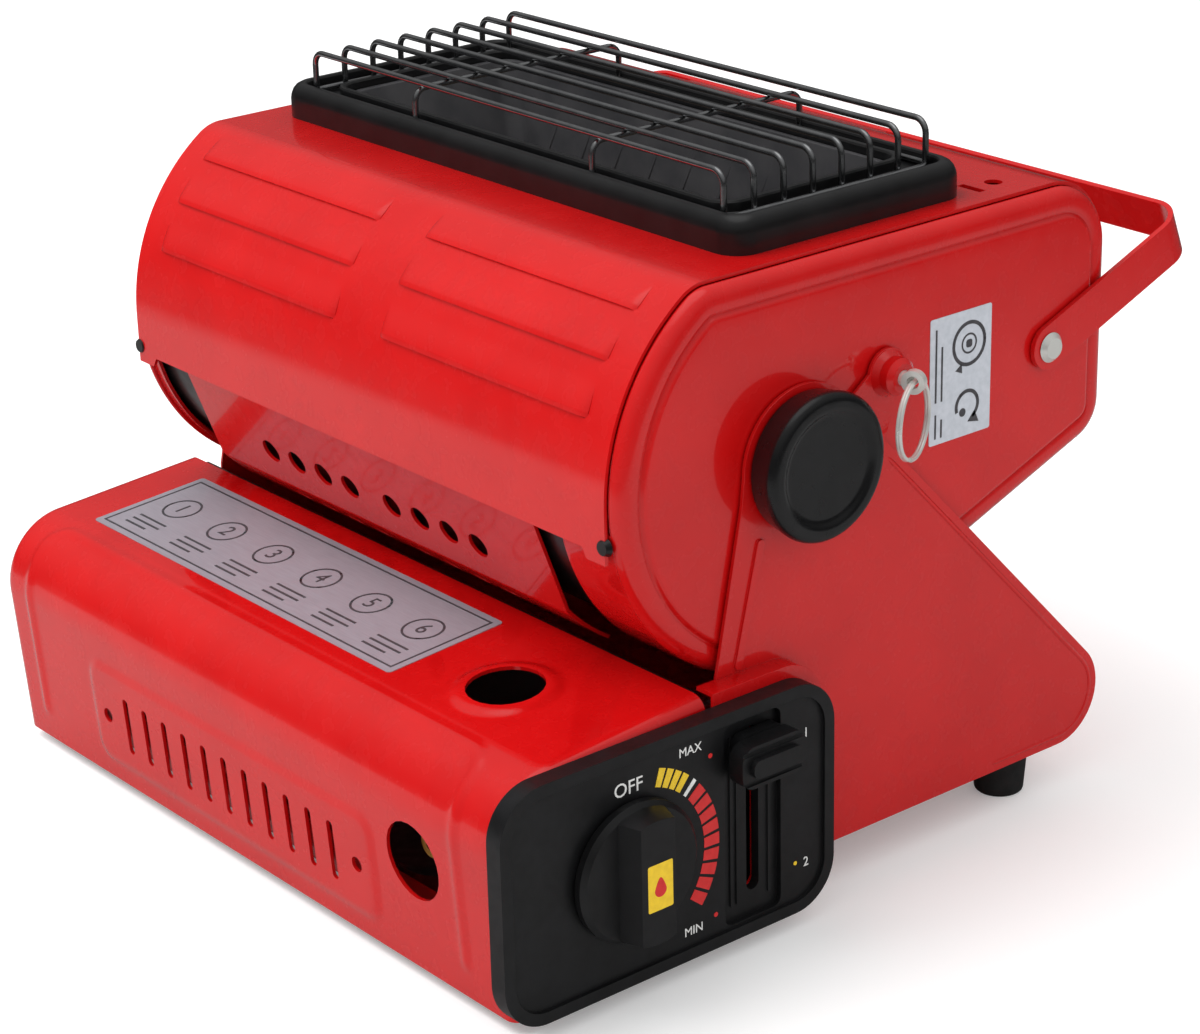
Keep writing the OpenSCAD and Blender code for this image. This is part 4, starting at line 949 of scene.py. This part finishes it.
def print_panel(look):
    """Heat scale, words and dots on the control panel, and the drop mark on the gas knob."""
    origin = at(PANEL_X, 0, 0)
    across, up = (0, 1, 0), (0, 0, 1)
    centre = (-79.0, 43.0)
    inner, outer = 26.6, 32.6

    def blocks(name, first, pitch, wide, count, material):
        unit = Print((0, 0, 0), across, up)
        unit.ring(0, 0, inner, outer, first - wide / 2, first + wide / 2, 3)
        bmesh.ops.remove_doubles(unit.bm, verts=unit.bm.verts, dist=0.001 * MM)
        source = mesh_object(name + "_unit", unit.bm, None)
        place = origin + Vector((0, centre[0], centre[1])) * MM
        turn = (math.radians(pitch), 0, 0)
        piece(repeat(name, source, count, (0, 0, 0), turn, place, material), "base", None)

    blocks("scale_yellow", 71, -6.2, 4.6, 4, Paints.yellow_ink)
    blocks("scale_red", 36.5, -9.0, 7.0, look.scale_blocks, Paints.red_ink)
    marks = Print(origin, across, up)
    marks.ring(*centre, inner, outer, 43.2, 45.8, 2)
    words = (("OFF", -81.6, 71.6, 6.4), ("MAX", -57.5, 76.0, 4.2), ("MIN", -57.0, 15.2, 4.2),
             ("1", -10.5, 66.5, 4.6), ("2", -10.5, 22.0, 4.6))
    for row in words:
        marks.word(*row)
    marks.done("panel_print_white", "base", Paints.white_ink)
    marks.ring(-49.6, 71.6, 0, 0.8, steps=16)
    marks.ring(-48.0, 17.2, 0, 0.8, steps=16)
    marks.done("panel_print_red", "base", Paints.red_ink)
    marks.ring(-15.0, 23.0, 0, 0.7, steps=16)
    marks.done("panel_print_yellow", "base", Paints.yellow_ink)
    face = Vector((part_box("gas_knob")[1][0], AXIS_Y, 0))
    marks = Print(face, across, up, 0.02)
    marks.plate(-85.2, 36.0, -75.6, 51.4, 0.6, low=-0.2)
    marks.done("knob_label", "gas_knob", Paints.yellow_ink)
    marks = Print(face, across, up, 0.04)
    drop = []
    for i in range(20):
        right, up_part = math.sin(-2 * math.pi * i / 20), math.cos(-2 * math.pi * i / 20)
        stretch = 1.35 if up_part > 0 else 0.75
        drop.append((-80.4 + 2.3 * right * (1 - 0.45 * max(0.0, up_part)), 42.6 + 3.1 * up_part * stretch))
    marks.area(drop, low=-0.1)
    marks.done("knob_flame", "gas_knob", Paints.red_ink)


def build_floor(look):
    """White studio floor, which the paint mirrors as a grey table with an edge some way from the heater."""
    floor = bpy.data.materials.new("studio_floor")
    floor.use_nodes = True
    tree = floor.node_tree
    place = add(tree, "ShaderNodeTexCoord").outputs["Object"]
    cloud = add(tree, "ShaderNodeTexNoise", {"Vector": place, "Scale": 2.0}).outputs["Fac"]
    tone = remap(tree, cloud, 0.86, 0.88)
    away = add(tree, "ShaderNodeVectorMath", {0: place}, operation="LENGTH").outputs["Value"]
    mirrored = remap(tree, away, look.floor_near, look.floor_far, 0.6, 0.85)
    rays = add(tree, "ShaderNodeLightPath").outputs
    seen = remap(tree, rays["Is Glossy Ray"], tone, mirrored)
    inputs = {0: rays["Is Camera Ray"], 1: look.floor_glow}
    glow = add(tree, "ShaderNodeMath", inputs, operation="MULTIPLY").outputs["Value"]
    surface = tree.nodes["Principled BSDF"]
    surface.inputs["Roughness"].default_value = 0.9
    surface.inputs["Emission Color"].default_value = (1, 1, 1, 1)
    tree.links.new(seen, surface.inputs["Base Color"])
    tree.links.new(glow, surface.inputs["Emission Strength"])
    rows = [[Vector((-FLOOR_HALF, y, 0)), Vector((FLOOR_HALF, y, 0))] for y in (-FLOOR_HALF, FLOOR_HALF)]
    sweep_grid("studio_floor", rows, floor)


def build_room(look):
    """Even white room, darker where the paint mirrors it apart from straight above, and one soft lamp."""
    scene = bpy.context.scene
    world = bpy.data.worlds.new("studio")
    world.use_nodes = True
    scene.world = world
    tree = world.node_tree
    rays = add(tree, "ShaderNodeLightPath").outputs
    way = add(tree, "ShaderNodeTexCoord").outputs["Generated"]
    height = add(tree, "ShaderNodeSeparateXYZ", {"Vector": way}).outputs["Z"]
    above = remap(tree, height, 0.04, look.ceiling, 0.1, 0.8)
    lamp_box = remap(tree, height, 0.0, look.overhead, 0.84, 0.94)
    mirrored = add(tree, "ShaderNodeMath", {0: above, 1: lamp_box}, operation="ADD").outputs["Value"]
    room = remap(tree, rays["Is Glossy Ray"], look.room_light, mirrored)
    level = remap(tree, rays["Is Camera Ray"], room, 1.0)
    backdrop = tree.nodes["Background"]
    backdrop.inputs["Color"].default_value = (1, 1, 1, 1)
    tree.links.new(level, backdrop.inputs["Strength"])
    light = bpy.data.lights.new("key", "AREA")
    light.energy = look.key_power
    light.size = 1.2
    lamp = bpy.data.objects.new("key", light)
    lamp.location = (-0.5, -0.65, 1.35)
    lamp.visible_glossy = False
    aim = Vector((0, 0, 0.12)) - lamp.location
    lamp.rotation_euler = aim.to_track_quat("-Z", "Y").to_euler()
    scene.collection.objects.link(lamp)


def build_camera():
    """Camera fitted to the photograph."""
    camera = bpy.data.cameras.new("photo_camera")
    camera.sensor_fit = "HORIZONTAL"
    camera.sensor_width = 36.0
    camera.lens = LENS
    eye = bpy.data.objects.new("photo_camera", camera)
    azimuth, elevation, roll = (math.radians(a) for a in CAMERA_TURN)
    level = Vector((math.sin(azimuth), -math.cos(azimuth), 0))
    back = math.cos(elevation) * level + Vector((0, 0, math.sin(elevation)))
    right = Vector((math.cos(azimuth), math.sin(azimuth), 0))
    up = back.cross(right)
    across = math.cos(roll) * right + math.sin(roll) * up
    upright = -math.sin(roll) * right + math.cos(roll) * up
    turn = Matrix((across, upright, back)).transposed().to_4x4()
    eye.matrix_world = Matrix.Translation(CAMERA_PLACE) @ turn
    scene = bpy.context.scene
    scene.collection.objects.link(eye)
    scene.camera = eye


CLASSES = []


def listed(cls):
    """Adds a class to those that register takes."""
    CLASSES.append(cls)
    return cls


DISTANCE = {"unit": "LENGTH", "subtype": "DISTANCE"}


@listed
class HeaterLook(bpy.types.PropertyGroup):
    """Sizes and light levels that the build steps take"""
    sheet_round: bpy.props.FloatProperty(
        name="Sheet edge", description="Radius on the edges of the sheet steel",
        default=0.0005, **DISTANCE)
    lid_step: bpy.props.FloatProperty(
        name="Lid step", description="Size of the quads in the lid's pressed skin",
        default=0.0015, **DISTANCE)
    plate_round: bpy.props.FloatProperty(
        name="Plate edge", description="Radius on the outer edges of the side plates",
        default=0.0011, **DISTANCE)
    moulded_round: bpy.props.FloatProperty(
        name="Moulded edge", description="Radius on the edges of the plastic pieces",
        default=0.0008, **DISTANCE)
    louvre_rise: bpy.props.FloatProperty(
        name="Louvre rise", description="Height of a pressed louvre at its open edge",
        default=0.0013, **DISTANCE)
    wire: bpy.props.FloatProperty(
        name="Guard wire", description="Diameter of the guard's wire",
        default=0.0021, **DISTANCE)
    wire_bend: bpy.props.FloatProperty(
        name="Wire bend", description="Radius of the bends at the guard's ends",
        default=0.0045, **DISTANCE)
    guard_wires: bpy.props.IntProperty(
        name="Guard wires", description="Number of long wires", default=8, min=2)
    scale_blocks: bpy.props.IntProperty(
        name="Scale blocks", description="Number of red blocks on the heat scale", default=9, min=1)
    key_power: bpy.props.FloatProperty(
        name="Key light", description="Power of the soft light at the left front",
        default=17.5, min=0.0, unit="POWER")
    room_light: bpy.props.FloatProperty(
        name="Room light", description="Strength of the even light from all round", default=0.95, min=0.0)
    ceiling: bpy.props.FloatProperty(
        name="Ceiling", description="Brightness of the room above in reflections", default=0.34, min=0.0)
    overhead: bpy.props.FloatProperty(
        name="Overhead", description="Extra brightness straight above in reflections", default=0.7, min=0.0)
    floor_near: bpy.props.FloatProperty(
        name="Floor nearby", description="Tone of the floor as mirrored close to the heater", default=0.3)
    floor_far: bpy.props.FloatProperty(
        name="Floor far off", description="Tone of the floor as mirrored a metre away", default=0.05)
    floor_glow: bpy.props.FloatProperty(
        name="Floor lift", description="Light added to the floor as the camera sees it", default=0.21)


class HeaterOperator:
    """Shared by the build steps: they take their sizes from the scene's settings."""
    bl_options = {"REGISTER", "UNDO"}

    def execute(self, context):
        self.build(context.scene.heater_look)
        return {"FINISHED"}


@listed
class HEATER_OT_base(HeaterOperator, bpy.types.Operator):
    """Rounds and paints the sheet pieces of the base"""
    bl_idname = "heater.base"
    bl_label = "Base"

    def build(self, look):
        edge, corner = look.sheet_round / MM, look.plate_round / MM
        for node in ("base_tray", "rear_panel"):
            dress(node, node + "_painted", Paints.red, "base", "red_paint", edge)
        for sign, node in ((1, "side_plate_right"), (-1, "side_plate_left")):
            outer = MID_X + sign * (BRACKET_X - 0.01) * MM

            def outside(a, b):
                return sign * (a.x - outer) > 0 and sign * (b.x - outer) > 0

            dress(node, node + "_painted", Paints.red, "base", "red_paint", corner, 4, where=outside)
            plate_bead(sign, node + "_bead")
        dress("heat_shield", "heat_shield_enamelled", Paints.enamel, "base", "black_enamel", 0.3)
        dress("rubber_feet", "feet_moulded", Paints.rubber, "base", "rubber", 1.2, 3)


@listed
class HEATER_OT_lid(HeaterOperator, bpy.types.Operator):
    """Presses the cartridge lid and puts its label on"""
    bl_idname = "heater.lid"
    bl_label = "Lid"

    def build(self, look):
        build_lid(look)
        label_lid()


@listed
class HEATER_OT_head(HeaterOperator, bpy.types.Operator):
    """Draws the hood, the side pans and the rear cover of the tilting head"""
    bl_idname = "heater.head"
    bl_label = "Head"

    def build(self, look):
        build_hood(look)
        build_head_side(1, "head_side_right")
        build_head_side(-1, "head_side_left")
        build_rear_cover()
        build_flange()
        edge = look.sheet_round / MM
        dress("front_shield", "front_plate", Paints.plate, "head", "red_paint", edge, angle=40)
        label_side()


@listed
class HEATER_OT_burner(HeaterOperator, bpy.types.Operator):
    """Finishes the burner frame, the reflector and the wire guard"""
    bl_idname = "heater.burner"
    bl_label = "Burner"

    def build(self, look):
        build_frame()
        dress("reflector", "reflector_tray", Paints.dark_steel, "head", "black_enamel", 0.3)
        build_guard(look)


@listed
class HEATER_OT_controls(HeaterOperator, bpy.types.Operator):
    """Finishes the control panel, the gas knob and the lock lever"""
    bl_idname = "heater.controls"
    bl_label = "Controls"

    def build(self, look):
        edge = look.moulded_round / MM
        dress("control_panel", "panel_moulding", Paints.plastic, "base", "black_plastic", edge, 3)
        dress("gas_knob", "gas_knob_moulding", Paints.plastic, "gas_knob", "black_plastic", edge, 3)
        dress("lock_lever", "lever_moulding", Paints.plastic, "lock_lever", "black_plastic", edge, 3)
        # Black sheet as painted shade behind the slot in the panel
        slot_lining()
        print_panel(look)


@listed
class HEATER_OT_tilt(HeaterOperator, bpy.types.Operator):
    """Finishes the tilt knobs, the pull pin and its ring"""
    bl_idname = "heater.tilt"
    bl_label = "Tilt"

    def build(self, look):
        for side in ("right", "left"):
            node = "tilt_knob_" + side
            dress(node, node + "_moulding", Paints.polish, node, "black_plastic", 0.8, 3)
        pin_spring()
        split_ring()


@listed
class HEATER_OT_handle(HeaterOperator, bpy.types.Operator):
    """Rounds and paints the strap handle"""
    bl_idname = "heater.handle"
    bl_label = "Handle"

    def build(self, look):
        dress("handle", "handle_strap", Paints.red, "handle", "red_paint", 0.85, 4)


NODE_FINISHES = {
    "red": ("pin_bush",),
    "zinc": ("cartridge_cradle", "regulator", "foot_screws", "lid_hinge_pins", "pivot_washers",
             "valve_stem", "lock_slide", "pivot_stud_right", "pivot_stud_left",
             "pivot_bosses", "burner_box", "mixer_tube"),
    "nickel": ("pull_pin", "handle_rivets"),
    "brass": ("hose_inlet", "gas_valve", "gas_pipe", "injector", "thermocouple"),
    "ceramic": ("ceramic_plaques", "ignition_electrode"),
    "plastic": ("piezo_igniter",),
    "enamel": ("hood_screws", "drum_liner"),
}


@listed
class HEATER_OT_inside(HeaterOperator, bpy.types.Operator):
    """Gives the CAD pieces that stay as they are their finishes"""
    bl_idname = "heater.inside"
    bl_label = "Inner pieces"

    def build(self, look):
        for finish, nodes in NODE_FINISHES.items():
            for node in nodes:
                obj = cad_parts[node]
                obj.data.materials.clear()
                obj.data.materials.append(getattr(Paints, finish))


@listed
class HEATER_OT_stage(HeaterOperator, bpy.types.Operator):
    """Sets up the floor, the light and the camera of the photograph"""
    bl_idname = "heater.stage"
    bl_label = "Stage"

    def build(self, look):
        bpy.context.scene.view_settings.view_transform = "Standard"
        build_floor(look)
        build_room(look)
        build_camera()


STEPS = ("base", "lid", "head", "burner", "controls", "tilt", "handle", "inside", "stage")


@listed
class HEATER_PT_build(bpy.types.Panel):
    """Lists the build steps and their settings in the sidebar"""
    bl_idname = "HEATER_PT_build"
    bl_label = "Gas heater"
    bl_space_type = "VIEW_3D"
    bl_region_type = "UI"
    bl_category = "Heater"

    def draw(self, context):
        look = context.scene.heater_look
        for key in HeaterLook.__annotations__:
            self.layout.prop(look, key)
        for step in STEPS:
            self.layout.operator("heater." + step)


def register():
    for cls in CLASSES:
        bpy.utils.register_class(cls)
    bpy.types.Scene.heater_look = bpy.props.PointerProperty(type=HeaterLook)


def unregister():
    del bpy.types.Scene.heater_look
    for cls in reversed(CLASSES):
        bpy.utils.unregister_class(cls)


def main():
    register()
    make_paints()
    for step in STEPS:
        if getattr(bpy.ops.heater, step)() != {"FINISHED"}:
            raise RuntimeError("build step failed: " + step)


if __name__ == "__main__":
    main()
